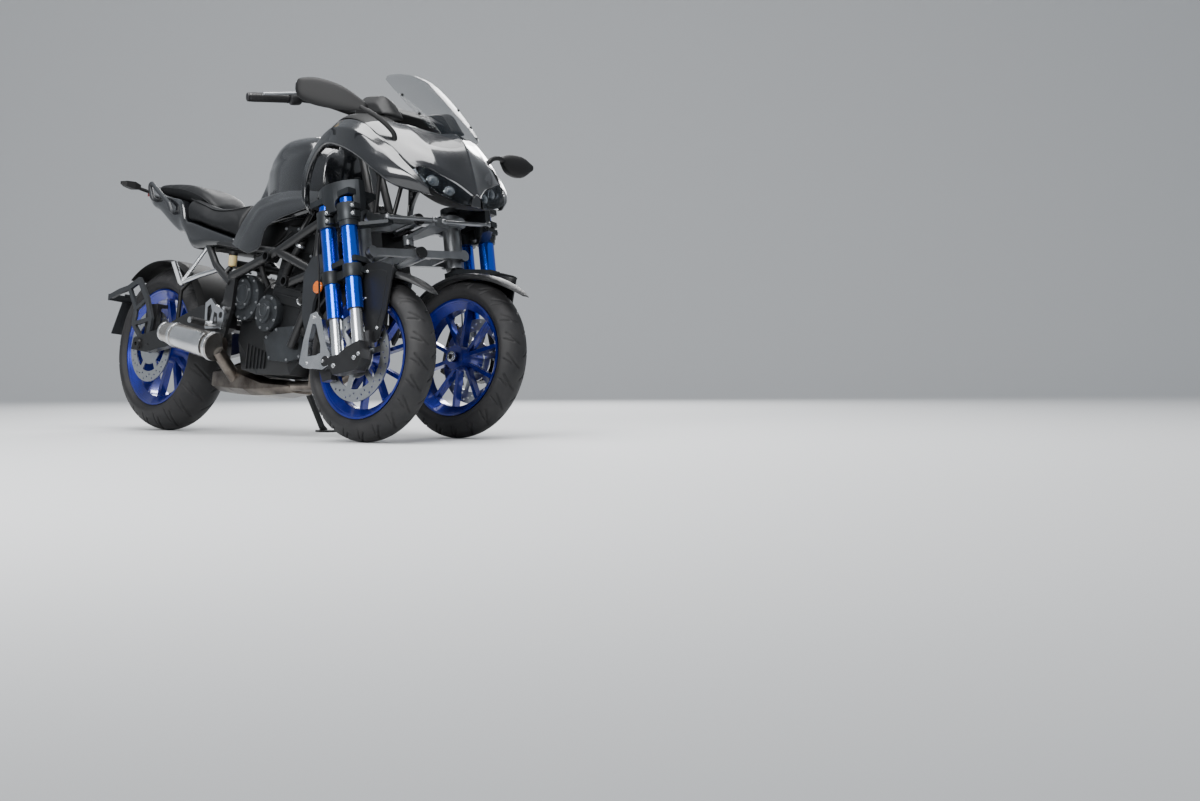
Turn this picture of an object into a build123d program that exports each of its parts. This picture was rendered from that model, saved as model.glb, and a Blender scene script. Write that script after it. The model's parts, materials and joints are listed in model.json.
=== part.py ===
from build123d import *
import math
import os

os.makedirs("parts", exist_ok=True)

# Driving dimensions in millimetres and degrees.
# X runs forward, Y to the left, Z up; the rear axle stands above the origin while building.
ARM_LENGTH = 575.0
FRAME_REACH = 935.0
TRACK = 410.0
RAKE = 15.0
LEAN = 7.0
PARKED_STEER = 5.0
FRONT_BEAD_R = 190.5
FRONT_WALL = 84.0
FRONT_CROWN = 60.0
FRONT_RIM_HALF = 46.0
REAR_BEAD_R = 216.0
REAR_WALL = 104.0
REAR_CROWN = 95.0
REAR_RIM_HALF = 74.0
FRONT_DISC_R = 149.0
REAR_DISC_R = 141.0
TUBE_R = 27.5
LEG_R = 20.5
TUBE_Q = -110.0
FRONT_TUBE_P = 57.0
REAR_TUBE_P = -41.0
UPPER_ARM_S = 480.0
LOWER_ARM_S = 360.0
TIE_S = 428.0
TIE_P = 150.0
TIE_Q = 22.0
PIVOT_Z = 400.0
GUARD_GAP = 6.5
SPROCKET_Y = 112.0
REAR_SPROCKET_R = 113.8
DRIVE_SPROCKET_R = 40.7
DRIVE_SPROCKET_X = 80.0
DRIVE_SPROCKET_Z = 392.0
FIT = 0.3
RUNNING = 0.05
SPINDLE_BORE_R = 8.0
BOBBIN_R = 3.4
BOBBIN_DEPTH = 16.0

FRONT_R = FRONT_BEAD_R + FRONT_WALL
REAR_R = REAR_BEAD_R + REAR_WALL
DRAWN_ARM = 575.0
FRONT_X = DRAWN_ARM + FRAME_REACH
NECK_X = FRONT_X - 210.0

SIN_R = math.sin(math.radians(RAKE))
COS_R = math.cos(math.radians(RAKE))
PSI = math.degrees(math.atan(math.tan(math.radians(LEAN)) / COS_R))
SIN_P = math.sin(math.radians(PSI))
COS_P = math.cos(math.radians(PSI))
SIN_L = math.sin(math.radians(LEAN))
COS_L = math.cos(math.radians(LEAN))


# Basic solids from points.
def cyl(a, b, r):
    start = Vector(*a)
    run = Vector(*b) - start
    return Solid.make_cylinder(r, run.length, Plane(origin=start, z_dir=run))


def pipe(a, b, r, ri):
    start = Vector(*a)
    run = (Vector(*b) - start).normalized()
    first = start - run
    last = Vector(*b) + run
    return cyl(a, b, r) - cyl(tuple(first), tuple(last), ri)


def cone(a, b, ra, rb):
    start = Vector(*a)
    run = Vector(*b) - start
    return Solid.make_cone(ra, rb, run.length, Plane(origin=start, z_dir=run))


def ball(c, r):
    return Solid.make_sphere(r, Plane(origin=c))


def block(x0, x1, y0, y1, z0, z1):
    solid = Solid.make_box(abs(x1 - x0), abs(y1 - y0), abs(z1 - z0))
    return Pos(min(x0, x1), min(y0, y1), min(z0, z1)) * solid


def plate_xz(points, y0, y1):
    wire = Wire.make_polygon([Vector(x, y0, z) for x, z in points], close=True)
    return Solid.extrude(Face(wire), Vector(0, y1 - y0, 0))


def plate_xy(points, z0, z1):
    wire = Wire.make_polygon([Vector(x, y, z0) for x, y in points], close=True)
    return Solid.extrude(Face(wire), Vector(0, 0, z1 - z0))


def plate_yz(points, x0, x1):
    wire = Wire.make_polygon([Vector(x0, y, z) for y, z in points], close=True)
    return Solid.extrude(Face(wire), Vector(x1 - x0, 0, 0))


def skin(sections):
    wires = [Wire.make_polygon([Vector(*p) for p in s], close=True) for s in sections]
    return Solid.make_loft(wires, True)


def ring_y(profile):
    wire = Wire.make_polygon([Vector(0, y, r) for y, r in profile], close=True)
    return Solid.revolve(Face(wire), 360, Axis((0, 0, 0), (0, 1, 0)))


def disc_y(y0, y1, r, ri=0.0):
    solid = cyl((0, y0, 0), (0, y1, 0), r)
    if ri > 0:
        solid = solid - cyl((0, y0 - 1, 0), (0, y1 + 1, 0), ri)
    return solid


def run_of(points, r):
    solid = cyl(points[0], points[1], r)
    for i in range(1, len(points) - 1):
        solid = solid + ball(points[i], r)
        solid = solid + cyl(points[i], points[i + 1], r)
    return solid


def swept(points, r, bend):
    path = FilletPolyline(*[Vector(*p) for p in points], radius=bend)
    start = Plane(origin=path @ 0, z_dir=path % 0)
    return Solid.sweep(Face(Wire.make_circle(r, start)), path)


def strip(points, half, y0, y1):
    solid = cyl((points[0][0], y0, points[0][1]), (points[0][0], y1, points[0][1]), half)
    for (xa, za), (xb, zb) in zip(points, points[1:]):
        long = math.hypot(xb - xa, zb - za)
        ox, oz = -(zb - za) / long * half, (xb - xa) / long * half
        solid = solid + plate_xz([(xa + ox, za + oz), (xb + ox, zb + oz), (xb - ox, zb - oz), (xa - ox, za - oz)], y0, y1)
        solid = solid + cyl((xb, y0, zb), (xb, y1, zb), half)
    return solid


def gather(shapes):
    solids = []
    for shape in shapes:
        solids.extend(shape.solids())
    return Compound(solids)


def flip(shape):
    return gather([solid.mirror(Plane.XZ) for solid in shape.solids()])


def twin(shape):
    result = shape
    for solid in flip(shape).solids():
        result = result + solid
    return result


def pair(shape):
    return gather([shape, flip(shape)])


# Front suspension frame: local X is forward, local Z runs up the steering axis.
RIM_LEAN = -SIN_L * math.cos(math.radians(PARKED_STEER))
RIM_LEAN = RIM_LEAN - COS_L * math.sin(math.radians(PARKED_STEER)) * SIN_R
DROP = (FRONT_R - FRONT_CROWN) * math.sqrt(1 - RIM_LEAN ** 2) + FRONT_CROWN
DROP = DROP - REAR_CROWN * (1 - COS_L)
LIFT = (DROP / COS_L - FRONT_R) / COS_R


def raked(p, q, s):
    return (FRONT_X + p * COS_R - s * SIN_R, q, FRONT_R + p * SIN_R + s * COS_R)


HALF = TRACK / 2
MID = Location(raked(0, 0, LIFT), (0, -RAKE, 0))
RIGHT = Location(raked(0, -HALF * COS_P, LIFT - HALF * SIN_P), (0, -RAKE, 0))
LEFT = Location(raked(0, HALF * COS_P, LIFT + HALF * SIN_P), (0, -RAKE, 0))
TURN = Location((0, 0, 0), (0, 0, PARKED_STEER))
PARK = Location((0, -REAR_CROWN * SIN_L, REAR_CROWN * (1 - COS_L)), (-LEAN, 0, 0))
AHEAD = ARM_LENGTH - DRAWN_ARM
BODY = Location((AHEAD, 0, 0))

STEM = Location((NECK_X - 200, 0, 1110), (0, -RAKE, 0))

nodes = {}


def keep(name, shape):
    nodes[name] = PARK * (BODY * shape)


def keep_on_arm(name, shape):
    nodes[name] = PARK * shape


# Frame: welded tubes, head casting that carries the leaning arms, seat rails.
FRAME_RUNS = [
    # radius, points on the right side
    (17, [(NECK_X, -48, 760), (1120, -165, 735), (900, -178, 640), (628, -176, 562)]),
    (17, [(NECK_X + 10, -48, 640), (1110, -165, 560), (900, -178, 640)]),
    (15, [(1110, -165, 560), (1120, -165, 735)]),
    (15, [(1110, -165, 560), (1075, -168, 420), (1010, -168, 300)]),
    (15, [(1110, -165, 560), (965, -180, 520)]),
    (14, [(618, -176, 535), (470, -150, 612), (340, -115, 716), (120, -85, 824), (-60, -60, 872)]),
    (13, [(900, -178, 640), (660, -150, 668), (340, -115, 716)]),
]
OPEN_ENDS = [(853, 622), (976, 528)]
ENGINE_MOUNTS = [
    # x, y at the tube, z, y of the seat on the engine, radius
    (1010, 168, 305, 128, 14),
    (930, 176, 652, 142, 13),
    (632, 176, 550, 128, 13),
]
TANK_BRACKET = [(1000, -171, 687), (1004, -124, 786)]
frame = None
for radius, points in FRAME_RUNS:
    piece = run_of(points, radius)
    frame = piece if frame is None else frame + piece
pivot_plate = plate_xz([(548, 345), (612, 335), (645, 440), (655, 578), (610, 578), (585, 470), (540, 430)],
                       -184, -170)
frame = frame + pivot_plate
frame = twin(frame)
frame = frame + cyl((-40, -94, 871), (-40, 94, 871), 12)
frame = frame + cyl((340, -115, 716), (340, 115, 716), 13)
for x, z in OPEN_ENDS:
    for side in (-1, 1):
        frame = frame + cyl((x, side * 152, z), (x, side * 202, z), 19)
        frame = frame - cyl((x, side * 172, z), (x, side * 203, z), 14)
frame = frame + cyl((560, -140, 616), (560, 140, 616), 15)
frame = frame + twin(cyl((560, -134, 616), (552, -166, 568), 11))
for x, y, z, seat, r in ENGINE_MOUNTS:
    frame = frame + cyl((x, -y, z), (x, -seat, z), r) + cyl((x, y, z), (x, seat, z), r)
frame = frame + plate_xz([(590, 352), (620, 352), (690, 232), (682, 185), (640, 185)], 134, 148)
frame = frame + block(592, 618, 134, 184, 338, 352)
frame = frame + cyl((662, 147, 208), (662, 170, 208), 9) + cyl((662, 166.5, 208), (662, 171, 208), 14)
casting = block(-150, -70, -58, 58, 320, 520)
casting = casting + block(-72, 20, -17, 17, TIE_S + 17, TIE_S + 25)
casting = casting + block(-72, 20, -17, 17, TIE_S - 38, TIE_S - 30)
casting = casting + cyl((0, 0, TIE_S - 38), (0, 0, TIE_S + 25), 8)
for s in (UPPER_ARM_S, LOWER_ARM_S):
    casting = casting + cyl((-72, 0, s), (68, 0, s), 12)
    casting = casting + cyl((60, 0, s), (70, 0, s), 20)
frame = frame + MID * casting
frame = frame + block(NECK_X - 70, NECK_X + 20, -48, 48, 620, 780)
frame = frame + twin(run_of([(NECK_X - 45, -38, 770), (NECK_X - 10, -60, 1000), (NECK_X + 52, -60, 1082)], 8))
frame = frame + STEM * (block(-30, 30, -40, 40, -60, -46) + cyl((0, 0, -70), (0, 0, -46), 24))
frame = frame + twin(run_of([(NECK_X - 185, -30, 1050), (NECK_X - 55, -40, 776)], 14))
frame = frame - STEM * cyl((0, 0, -90), (0, 0, 0), 10 + RUNNING)
frame = frame - cyl((DRAWN_ARM, -200, PIVOT_Z), (DRAWN_ARM, 200, PIVOT_Z), 10)

# Engine: crankcase, forward-leaning cylinder block and head.
crankcase = plate_xz(
    [(625, 330), (660, 225), (760, 205), (960, 205), (1010, 250), (1020, 400), (1000, 450),
     (860, 500), (655, 572), (612, 566), (618, 500), (640, 430)], -128, 128)
barrel = plate_xz([(820, 470), (1005, 440), (1045, 630), (880, 665)], -138, 138)
head = plate_xz([(868, 660), (1050, 628), (1062, 690), (1035, 715), (895, 738)], -142, 142)
engine = crankcase + barrel + head
engine = engine - block(590, 716, 98, 130, 330, 452)
keep("engine", engine)

# Round side covers of the engine.
COVERS = [
    # x, z, radius, inner y, outer y
    (684, 484, 84, 128, 156),
    (676, 496, 56, 150, 166),
    (828, 424, 66, 128, 158),
    (824, 430, 42, 150, 170),
]
covers = None
for x, z, r, y0, y1 in COVERS:
    one = cyl((x, -y0, z), (x, -y1, z), r)
    covers = one if covers is None else covers + one
sump_cover = plate_xz([(812, 330), (884, 372), (1000, 376), (1040, 350), (1040, 262), (960, 248), (846, 256)], -146, -128)
covers = covers + sump_cover
generator = cyl((880, 128, 375), (880, 160, 375), 84) + cyl((880, 150, 375), (880, 170, 375), 52)
sprocket_cover = plate_xz([(622, 340), (770, 340), (770, 460), (640, 460), (622, 430)], 128.3, 146)
covers = [covers, generator, sprocket_cover]
keep("engine_covers", gather([one - engine - frame for one in covers]))

# Radiator with side shrouds.
core = block(1098, 1142, -146, 146, 318, 536)
core = core + block(1080, 1112, -160, -130, 486, 512) + block(1080, 1112, 130, 160, 486, 512)
core = core - frame
shroud = plate_xz([(1090, 548), (1126, 604), (1178, 614), (1200, 588), (1192, 530), (1160, 452), (1148, 372),
                   (1128, 346), (1104, 392), (1092, 470)], -198, -186)
shroud = shroud + block(1108, 1136, -190, -146, 500, 516) + block(1108, 1130, -190, -146, 400, 416)
shroud = shroud - frame
shroud = shroud - core
keep("radiator", gather([core]))
keep("radiator_shrouds", pair(shroud))

# Exhaust: three head pipes, collector box below the crankcase, silencer on the right.
COLLECTOR = [
    # x, half width, z top, z bottom
    (385, 62, 212, 168),
    (430, 96, 238, 150),
    (560, 106, 248, 140),
    (650, 106, 222, 136),
    (740, 92, 198, 138),
    (870, 62, 192, 150),
]
pipes = None
for y, ye in ((-95, -40), (0, 0), (95, 40)):
    one = run_of([(1040, y, 676), (1074, y, 645), (1062, y, 255), (985, ye, 176), (850, ye, 174)], 18)
    pipes = one if pipes is None else pipes + one
sections = []
for x, w, zt, zb in COLLECTOR:
    sections.append([(x, -w * 0.6, zb), (x, -w, zb + 20), (x, -w, zt - 20), (x, -w * 0.6, zt),
                     (x, w * 0.6, zt), (x, w, zt - 20), (x, w, zb + 20), (x, w * 0.6, zb)])
pipes = pipes + skin(sections)
pipes = pipes - engine
keep("exhaust_pipes", pipes)
silencer_axis = Vector(-248, -28, 48).normalized()
across = silencer_axis.cross(Vector(0, 0, 1)).normalized()
silencer_place = Plane(origin=(600, -203, 297), x_dir=across, z_dir=across.cross(silencer_axis)).location
silencer = silencer_place * ring_y([(0, 0), (0, 52), (254, 44), (307, 35), (307, 27), (230, 27), (230, 0)])
silencer = silencer + cyl((572, -90, 196), (588, -190, 286), 24)
silencer = silencer - pipes - frame
keep("silencer", max(silencer.solids(), key=lambda one: one.volume))

# Fuel tank.
TANK = [
    # x, half width top, half width mid, half width low, z top, z shoulder, z mid, z low
    (572, 34, 66, 60, 878, 856, 808, 735),
    (640, 50, 84, 92, 962, 924, 854, 742),
    (716, 72, 118, 118, 1034, 988, 890, 750),
    (820, 84, 148, 130, 1068, 1024, 905, 760),
    (960, 86, 156, 132, 1062, 1010, 900, 775),
    (1060, 62, 118, 100, 1026, 976, 885, 800),
]
sections = []
for x, wt, wm, wl, zt, zs, zm, zl in TANK:
    right = [(x, -wl, zl), (x, -wm, zm), (x, -wm * 0.93, zs), (x, -wt, zt)]
    left = [(a, -b, c) for a, b, c in reversed(right)]
    sections.append(right + left)
tank = skin(sections)
keep("fuel_tank", tank)

# Seats.
PASSENGER = [
    (-134, 66, 976, 934),
    (0, 96, 966, 908),
    (130, 108, 950, 880),
    (236, 108, 916, 856),
    (296, 96, 876, 840),
    (322, 80, 846, 832),
]
sections = []
for x, w, zt, zl in PASSENGER:
    edge = (zt - zl) * 0.4
    sections.append([(x, -w * 0.86, zl), (x, -w, zt - edge), (x, -w * 0.72, zt), (x, w * 0.72, zt),
                     (x, w, zt - edge), (x, w * 0.86, zl)])
passenger_seat = skin(sections)
RIDER = [
    # x, crest half width, crest z, widest half width, widest z, low half width, low z, middle z
    (212, 122, 888, 146, 858, 148, 800, 860),
    (290, 116, 862, 150, 822, 148, 780, 846),
    (373, 110, 834, 150, 792, 146, 758, 834),
    (460, 100, 830, 144, 776, 142, 736, 828),
    (556, 82, 842, 124, 778, 132, 710, 838),
]
sections = []
for x, w1, z1, w2, z2, w3, z3, z0 in RIDER:
    sections.append([(x, -w3, z3), (x, -w2, z2), (x, -w1, z1), (x, 0, z0), (x, w1, z1), (x, w2, z2), (x, w3, z3)])
rider_form = skin(sections)
passenger_seat = passenger_seat - rider_form
passenger_seat = max(passenger_seat.solids(), key=lambda one: one.volume)
keep("passenger_seat", passenger_seat)
rider_seat = rider_form - tank
keep("rider_seat", rider_seat)

# Tail cover below both seats.
TAIL = [
    # x, half width, z top, z low, z middle
    (-232, 44, 978, 934, 956),
    (-134, 84, 934, 884, 912),
    (-60, 98, 918, 858, 888),
    (60, 118, 898, 798, 850),
    (150, 132, 874, 758, 815),
    (211.9, 146, 800, 744, 775),
    (275, 148, 782, 688, 748),
    (400, 146, 748, 682, 716),
    (556, 134, 708, 680, 694),
]
sections = []
for x, w, zt, zl, zm in TAIL:
    sections.append([(x, -w * 0.86, zl), (x, -w, zm), (x, -w * 0.96, zt), (x, w * 0.96, zt), (x, w, zm), (x, w * 0.86, zl)])
tail_form = skin(sections)
tail_cut = []
for x, w, zt, zl, zm in TAIL:
    tail_cut.append([(x, -w * 0.86 + 5, zl - 12), (x, -w + 5, zm - 5), (x, -w * 0.96 + 5, zt - 5),
                     (x, w * 0.96 - 5, zt - 5), (x, w - 5, zm - 5), (x, w * 0.86 - 5, zl - 12)])
tail = tail_form - skin(tail_cut)
tail = tail - passenger_seat - rider_form
keep("tail_cover", tail)

# Grab rails either side of the passenger seat.
rail = swept([(-82, -78, 898), (-84, -112, 906), (-124, -106, 966), (-96, -112, 966), (92, -142, 868), (110, -138, 834),
              (104, -116, 838)], 9, 11)
keep("grab_rails", pair(rail - tail_form))

# Side covers below the tank.
cover = plate_xz([(585, 683), (703, 838), (775, 858), (892, 868), (980, 862), (1080, 850), (1096, 800), (1063, 788),
                  (885, 752), (824, 727), (794, 655), (727, 637)], -196, -184)
cover = cover + plate_xz([(585, 683), (640, 722), (790, 668), (794, 655), (727, 637)], -203, -195)
for x, z in ((830, 800), (980, 810)):
    cover = cover + cyl((x, -186, z), (x, -110, z), 12)
cover = cover - tank - frame
keep("side_covers", pair(cover))

# Front fairing: faceted shell, nose and side panels cut from one form.
FAIRING = [
    # x, then half outline from the crest to the lower edge as y, z pairs
    (1085, (0, 990), (100, 1004), (175, 988), (230, 900), (236, 790)),
    (1153, (0, 1020), (130, 1036), (212, 1012), (256, 930), (246, 745)),
    (1230, (0, 1046), (150, 1068), (238, 1046), (278, 940), (266, 742)),
    (1310, (0, 1066), (165, 1090), (248, 1068), (292, 950), (276, 742)),
    (1420, (0, 1078), (172, 1082), (252, 1044), (300, 930), (282, 745)),
    (1510, (0, 1070), (172, 1030), (240, 985), (292, 890), (268, 755)),
    (1590, (0, 1040), (140, 975), (205, 940), (256, 860), (226, 765)),
    (1650, (0, 1003), (90, 935), (150, 905), (205, 845), (178, 765)),
    (1697, (0, 925), (45, 880), (96, 850), (150, 816), (128, 762)),
    (1742, (0, 822), (12, 815), (24, 806), (36, 792), (26, 764)),
]


def fairing_form(inset, low, back, front):
    rows = []
    for row in FAIRING:
        x = row[0]
        if row is FAIRING[0]:
            x = x - back
        if row is FAIRING[-1]:
            x = x - front
        half = []
        for i, (y, z) in enumerate(row[1:]):
            nearer = y - inset if y > 2 * inset else y / 2
            if i < 3:
                half.append((nearer, z - inset))
            else:
                half.append((nearer, z - (low if i == 4 else inset * 0.6)))
        right = [(x, -y, z) for y, z in reversed(half)]
        left = [(x, y, z) for y, z in half[1:]]
        rows.append(right + left)
    return skin(rows)


outer = fairing_form(0, 0, 0, 0)
inner = fairing_form(5, 40, 2, 6)
shell = outer - inner
deep = outer - fairing_form(26, 60, 2, 26)
ARCH = [(1172, 690), (1166, 752), (1122, 785), (1116, 861), (1160, 938), (1244, 974), (1356, 956), (1470, 910),
        (1540, 858), (1592, 814), (1690, 798), (1712, 770), (1716, 690)]
arch = plate_xz(ARCH, -400, 400)
arch = arch + plate_xz([(1000, 600), (1000, 802), (1089, 802), (1164, 745), (1173, 600)], -400, 400)
cockpit = plate_xy([(1040, -160), (1330, -190), (1500, -150), (1600, 0), (1500, 150), (1330, 190), (1040, 160)],
                   900, 1200)
LAMP = [(-192, 890), (-160, 892), (-62, 846), (-10, 806), (-12, 782), (-60, 778), (-142, 806), (-188, 850)]
GROWN = [(-192.4, 890.4), (-159.8, 892.4), (-61.8, 846.4), (-9.6, 806.3), (-11.6, 781.6), (-60, 777.6),
         (-142.2, 805.7), (-188.4, 849.8)]
lamp_cut = plate_yz(GROWN, 1580, 1900)
lamp_cut = lamp_cut + lamp_cut.mirror(Plane.XZ)
shell = shell - cockpit
SPLIT = [(1330, 1200), (1430, 1040), (1560, 945), (1650, 868), (1690, 810), (1690, 600)]
side_zone = plate_xz([(1000, 600), (1000, 1200)] + SPLIT, -400, -60)
nose_zone = plate_xz([(x + 0.4, z) for x, z in SPLIT] + [(1900, 600), (1900, 1200)], -400, 400)
side_panel = (shell & side_zone) - arch - lamp_cut
keep("side_fairings", pair(side_panel))
frame = (frame + twin(run_of(TANK_BRACKET, 9))) - tank
fairing_stay = twin(run_of([(NECK_X - 15, -60, 985), (1292, -170, 1020), (1300, -268, 1012)], 8))
frame = frame + fairing_stay
frame = frame - tail - side_panel - flip(side_panel)
frame = max(frame.solids(), key=lambda one: one.volume)
keep("frame", frame)
nose = (shell & nose_zone) - lamp_cut - arch
keep("nose_fairing", nose)
lamp = (deep & plate_yz(LAMP, 1590, 1900)) - arch
keep("headlamps", pair(lamp))

# Windscreen: curved clear sheet, drawn flat in its own plane and bowed across.
SCREEN_OUTLINE = [(0, 0), (10, -46), (52, -94), (102, -114), (200, -128), (300, -136), (372, -136), (392, -122),
                  (398, -80), (400, 0)]
SCREEN_BOW = 34.0
SCREEN_T = 4.0
screen_place = Plane(origin=(1662, 0, 996), x_dir=(-0.752, 0, 0.659), z_dir=(0.659, 0, 0.752)).location
upper_line = []
for k in range(-6, 7):
    y = 160 * k / 6
    upper_line.append((y, -SCREEN_BOW * (y / 150) ** 2))
lower_line = [(y, z - SCREEN_T) for y, z in reversed(upper_line)]
screen = plate_yz(upper_line + lower_line, -20, 420)
mirrored_outline = [(u, -y) for u, y in reversed(SCREEN_OUTLINE[1:-1])]
screen = screen & plate_xy(SCREEN_OUTLINE + mirrored_outline, -90, 20)
screen = screen_place * screen
keep("windscreen", screen - outer)

# Instrument pod.
pod = plate_xz([(1330, 1075), (1400, 1050), (1432, 1100), (1342, 1142)], -92, 92)
wing = skin([
    [(1262, -112, 1082), (1284, -112, 1150), (1392, -112, 1146), (1462, -112, 1072)],
    [(1258, -150, 1082), (1282, -150, 1166), (1396, -150, 1158), (1462, -150, 1076)],
    [(1270, -184, 1084), (1292, -184, 1128), (1392, -184, 1120), (1442, -184, 1080)],
])
wing = wing + block(1340, 1400, -125, -80, 1086, 1108)
pod = twin(pod + wing)
pod = pod - frame - shell
keep("dashboard", pod)

# Mirrors.
right_arm = run_of([(1540, -206, 958), (1545, -218, 1000), (1508, -262, 1048), (1462, -300, 1082)], 9)
right_head = skin([
    [(1488, -286, 1062), (1482, -286, 1092), (1462, -286, 1096), (1466, -286, 1066)],
    [(1430, -340, 1062), (1424, -340, 1142), (1386, -340, 1150), (1392, -340, 1066)],
    [(1366, -392, 1072), (1360, -392, 1166), (1318, -392, 1172), (1324, -392, 1078)],
    [(1318, -430, 1094), (1314, -430, 1162), (1286, -430, 1166), (1290, -430, 1098)],
    [(1300, -442, 1118), (1298, -442, 1144), (1284, -442, 1146), (1286, -442, 1122)],
])
left_arm = run_of([(1545, 200, 956), (1550, 210, 990), (1528, 262, 1010), (1506, 312, 1012)], 9)
left_head = skin([
    [(1516, 300, 1000), (1514, 300, 1024), (1494, 300, 1026), (1496, 300, 998)],
    [(1526, 336, 974), (1522, 336, 1036), (1482, 336, 1042), (1484, 336, 968)],
    [(1532, 392, 966), (1528, 392, 1038), (1484, 392, 1044), (1486, 392, 964)],
    [(1522, 441, 1000), (1520, 441, 1020), (1500, 441, 1022), (1502, 441, 998)],
])
right_mirror = (right_arm + right_head) - outer
left_mirror = (left_arm + left_head) - outer
keep("mirrors", gather([right_mirror, left_mirror]))

# Swinging arm with the axle spindle.
PX = ARM_LENGTH
arm = plate_xz([(PX + 35, 430), (PX - 10, 452), (PX - 150, 462), (PX - 280, 424), (PX - 430, 376), (45, REAR_R + 40),
                (-35, REAR_R + 25), (-45, REAR_R - 20), (60, REAR_R - 32), (PX - 245, 326), (PX - 15, 356), (PX + 35, 372)],
               -166, -130)
arm = twin(arm)
swing = arm + block(PX - 135, PX - 23, -131, 131, 374, 421)
swing = swing + cyl((0, -172, REAR_R), (0, 172, REAR_R), 12.5)
swing = swing + cyl((0, -176, REAR_R), (0, -166, REAR_R), 22)
swing = swing + cyl((0, 166, REAR_R), (0, 176, REAR_R), 22)
swing = swing - cyl((0, -200, REAR_R), (0, 200, REAR_R), SPINDLE_BORE_R)
for side in (-1, 1):
    swing = swing - cyl((75, side * 170, 318), (75, side * (166 - BOBBIN_DEPTH), 318), BOBBIN_R)
swing = swing - cyl((PX, -200, PIVOT_Z), (PX, 200, PIVOT_Z), 10.3)
keep_on_arm("swingarm", swing)
keep("swingarm_pivot", cyl((DRAWN_ARM, -188, PIVOT_Z), (DRAWN_ARM, 188, PIVOT_Z), 9.7))

# Shock absorber between the engine and the wheel.
shock = cyl((482, 0, 410), (556, 0, 610), 18)
for i in range(6):
    t = 0.25 + 0.09 * i
    a = (482 + 74 * t, 0, 410 + 200 * t)
    b = (482 + 74 * (t + 0.04), 0, 410 + 200 * (t + 0.04))
    shock = shock + cyl(a, b, 31)
shock = shock + cyl((560, -18, 616), (560, 18, 616), 25)
shock = shock - cyl((560, -30, 616), (560, 30, 616), 15)
shock = shock - Pos(-AHEAD, 0, 0) * swing
keep("shock_absorber", shock)

# Rear mudguard and plate carrier.
GUARD_R = REAR_R + GUARD_GAP + 9.5
guard = ring_y([(-100, GUARD_R), (-70, GUARD_R + 8), (70, GUARD_R + 8), (100, GUARD_R), (100, GUARD_R - 4), (-100, GUARD_R - 4)])
guard = Pos(0, 0, REAR_R) * guard
guard = guard & plate_xz([(0, REAR_R), (-230, REAR_R + 300), (-230, REAR_R + 420), (420, REAR_R + 420), (420, REAR_R + 120)],
                         -200, 200)
guard = guard + twin(run_of([(225, -97, REAR_R + 252), (232, -141, REAR_R + 205), (236, -146, REAR_R + 65)], 8))
guard = guard - swing
keep_on_arm("rear_mudguard", guard)
PLATE_TOP = (-262.0, REAR_R + 212)
PLATE_LOW = (-341.0, REAR_R + 55)
carrier = strip([(34, REAR_R + 24), (46, REAR_R + 100), (5, REAR_R + 179), (-63, REAR_R + 255), (-132, REAR_R + 227)], 11, -150, -138)
carrier = carrier + strip([(-132, REAR_R + 227), (-68, REAR_R + 140), (-78, REAR_R + 82), (-14, REAR_R + 24)], 9, -150, -138)
carrier = carrier + strip([(-68, REAR_R + 140), (5, REAR_R + 179)], 7, -150, -138)
carrier = carrier + strip([(-78, REAR_R + 82), (46, REAR_R + 100)], 8, -150, -138)
carrier = carrier + strip([(-132, REAR_R + 227), (-200, REAR_R + 215), (-268, REAR_R + 196)], 10, -150, -138)
carrier = carrier + block(-282, -268, -150, 60, REAR_R + 180, REAR_R + 206)
plate_face = [PLATE_TOP, PLATE_LOW, (PLATE_LOW[0] - 4, PLATE_LOW[1] + 2), (PLATE_TOP[0] - 4, PLATE_TOP[1] + 2)]
carrier = carrier + plate_xz(plate_face, -85, 85)
carrier = carrier + cyl((PLATE_LOW[0] + 4, 0, PLATE_LOW[1] + 22), (PLATE_LOW[0] - 12, 0, PLATE_LOW[1] + 14), 17)
carrier = carrier - swing - Pos(0, 0, REAR_R) * disc_y(-120, 120, REAR_R + GUARD_GAP)
keep_on_arm("plate_carrier", carrier)
lamp_stub = cyl((-176, -40, 940), (-190, -128, 956), 7)
lamp_stub = lamp_stub + skin([
    [(-200, -112, 948), (-200, -112, 966), (-178, -112, 966), (-178, -112, 948)],
    [(-206, -140, 944), (-206, -140, 974), (-174, -140, 974), (-174, -140, 944)],
    [(-204, -176, 950), (-204, -176, 972), (-178, -176, 972), (-178, -176, 950)],
    [(-197, -194, 958), (-197, -194, 968), (-187, -194, 968), (-187, -194, 958)],
])
lamp_stub = lamp_stub - tail_form
keep("rear_indicators", pair(lamp_stub))
keep("tail_lamp", block(-246, -232.3, -38, 38, 938, 976))

# Footrests.
rest = plate_xz([(508, 462), (540, 478), (572, 454), (606, 442), (634, 424), (632, 392), (622, 366), (518, 366), (512, 400)],
                -206, -194)
rest = rest - plate_xz([(524, 446), (544, 456), (556, 430), (546, 388), (528, 390)], -210, -190)
rest = rest - plate_xz([(570, 428), (590, 420), (596, 384), (562, 380)], -210, -190)
rest = rest - cyl((613, -210, 414), (613, -190, 414), 12)
rest = rest + cyl((604, -196, 372), (604, -184.3, 372), 9) + cyl((612, -196, 440), (612, -184.3, 440), 8)
rest = rest + cyl((538, -200, 384), (538, -288, 388), 11)
pillion = run_of([(500, -158, 592), (400, -170, 574), (303, -184, 548)], 9)
pillion = pillion + run_of([(372, -128, 690), (303, -184, 548)], 8) + ball((303, -184, 548), 14)
pillion = pillion + cyl((303, -190, 546), (300, -226, 622), 11)
rest = gather([one for one in (rest - frame).solids()] + [max((pillion - frame).solids(), key=lambda one: one.volume)])
keep("footrests", gather([rest, flip(rest)]))

# Leaning arms: two cross beams pivoted on the middle of the head casting.
arm_tilt = Location((0, 0, 0), (PSI, 0, 0))


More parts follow.
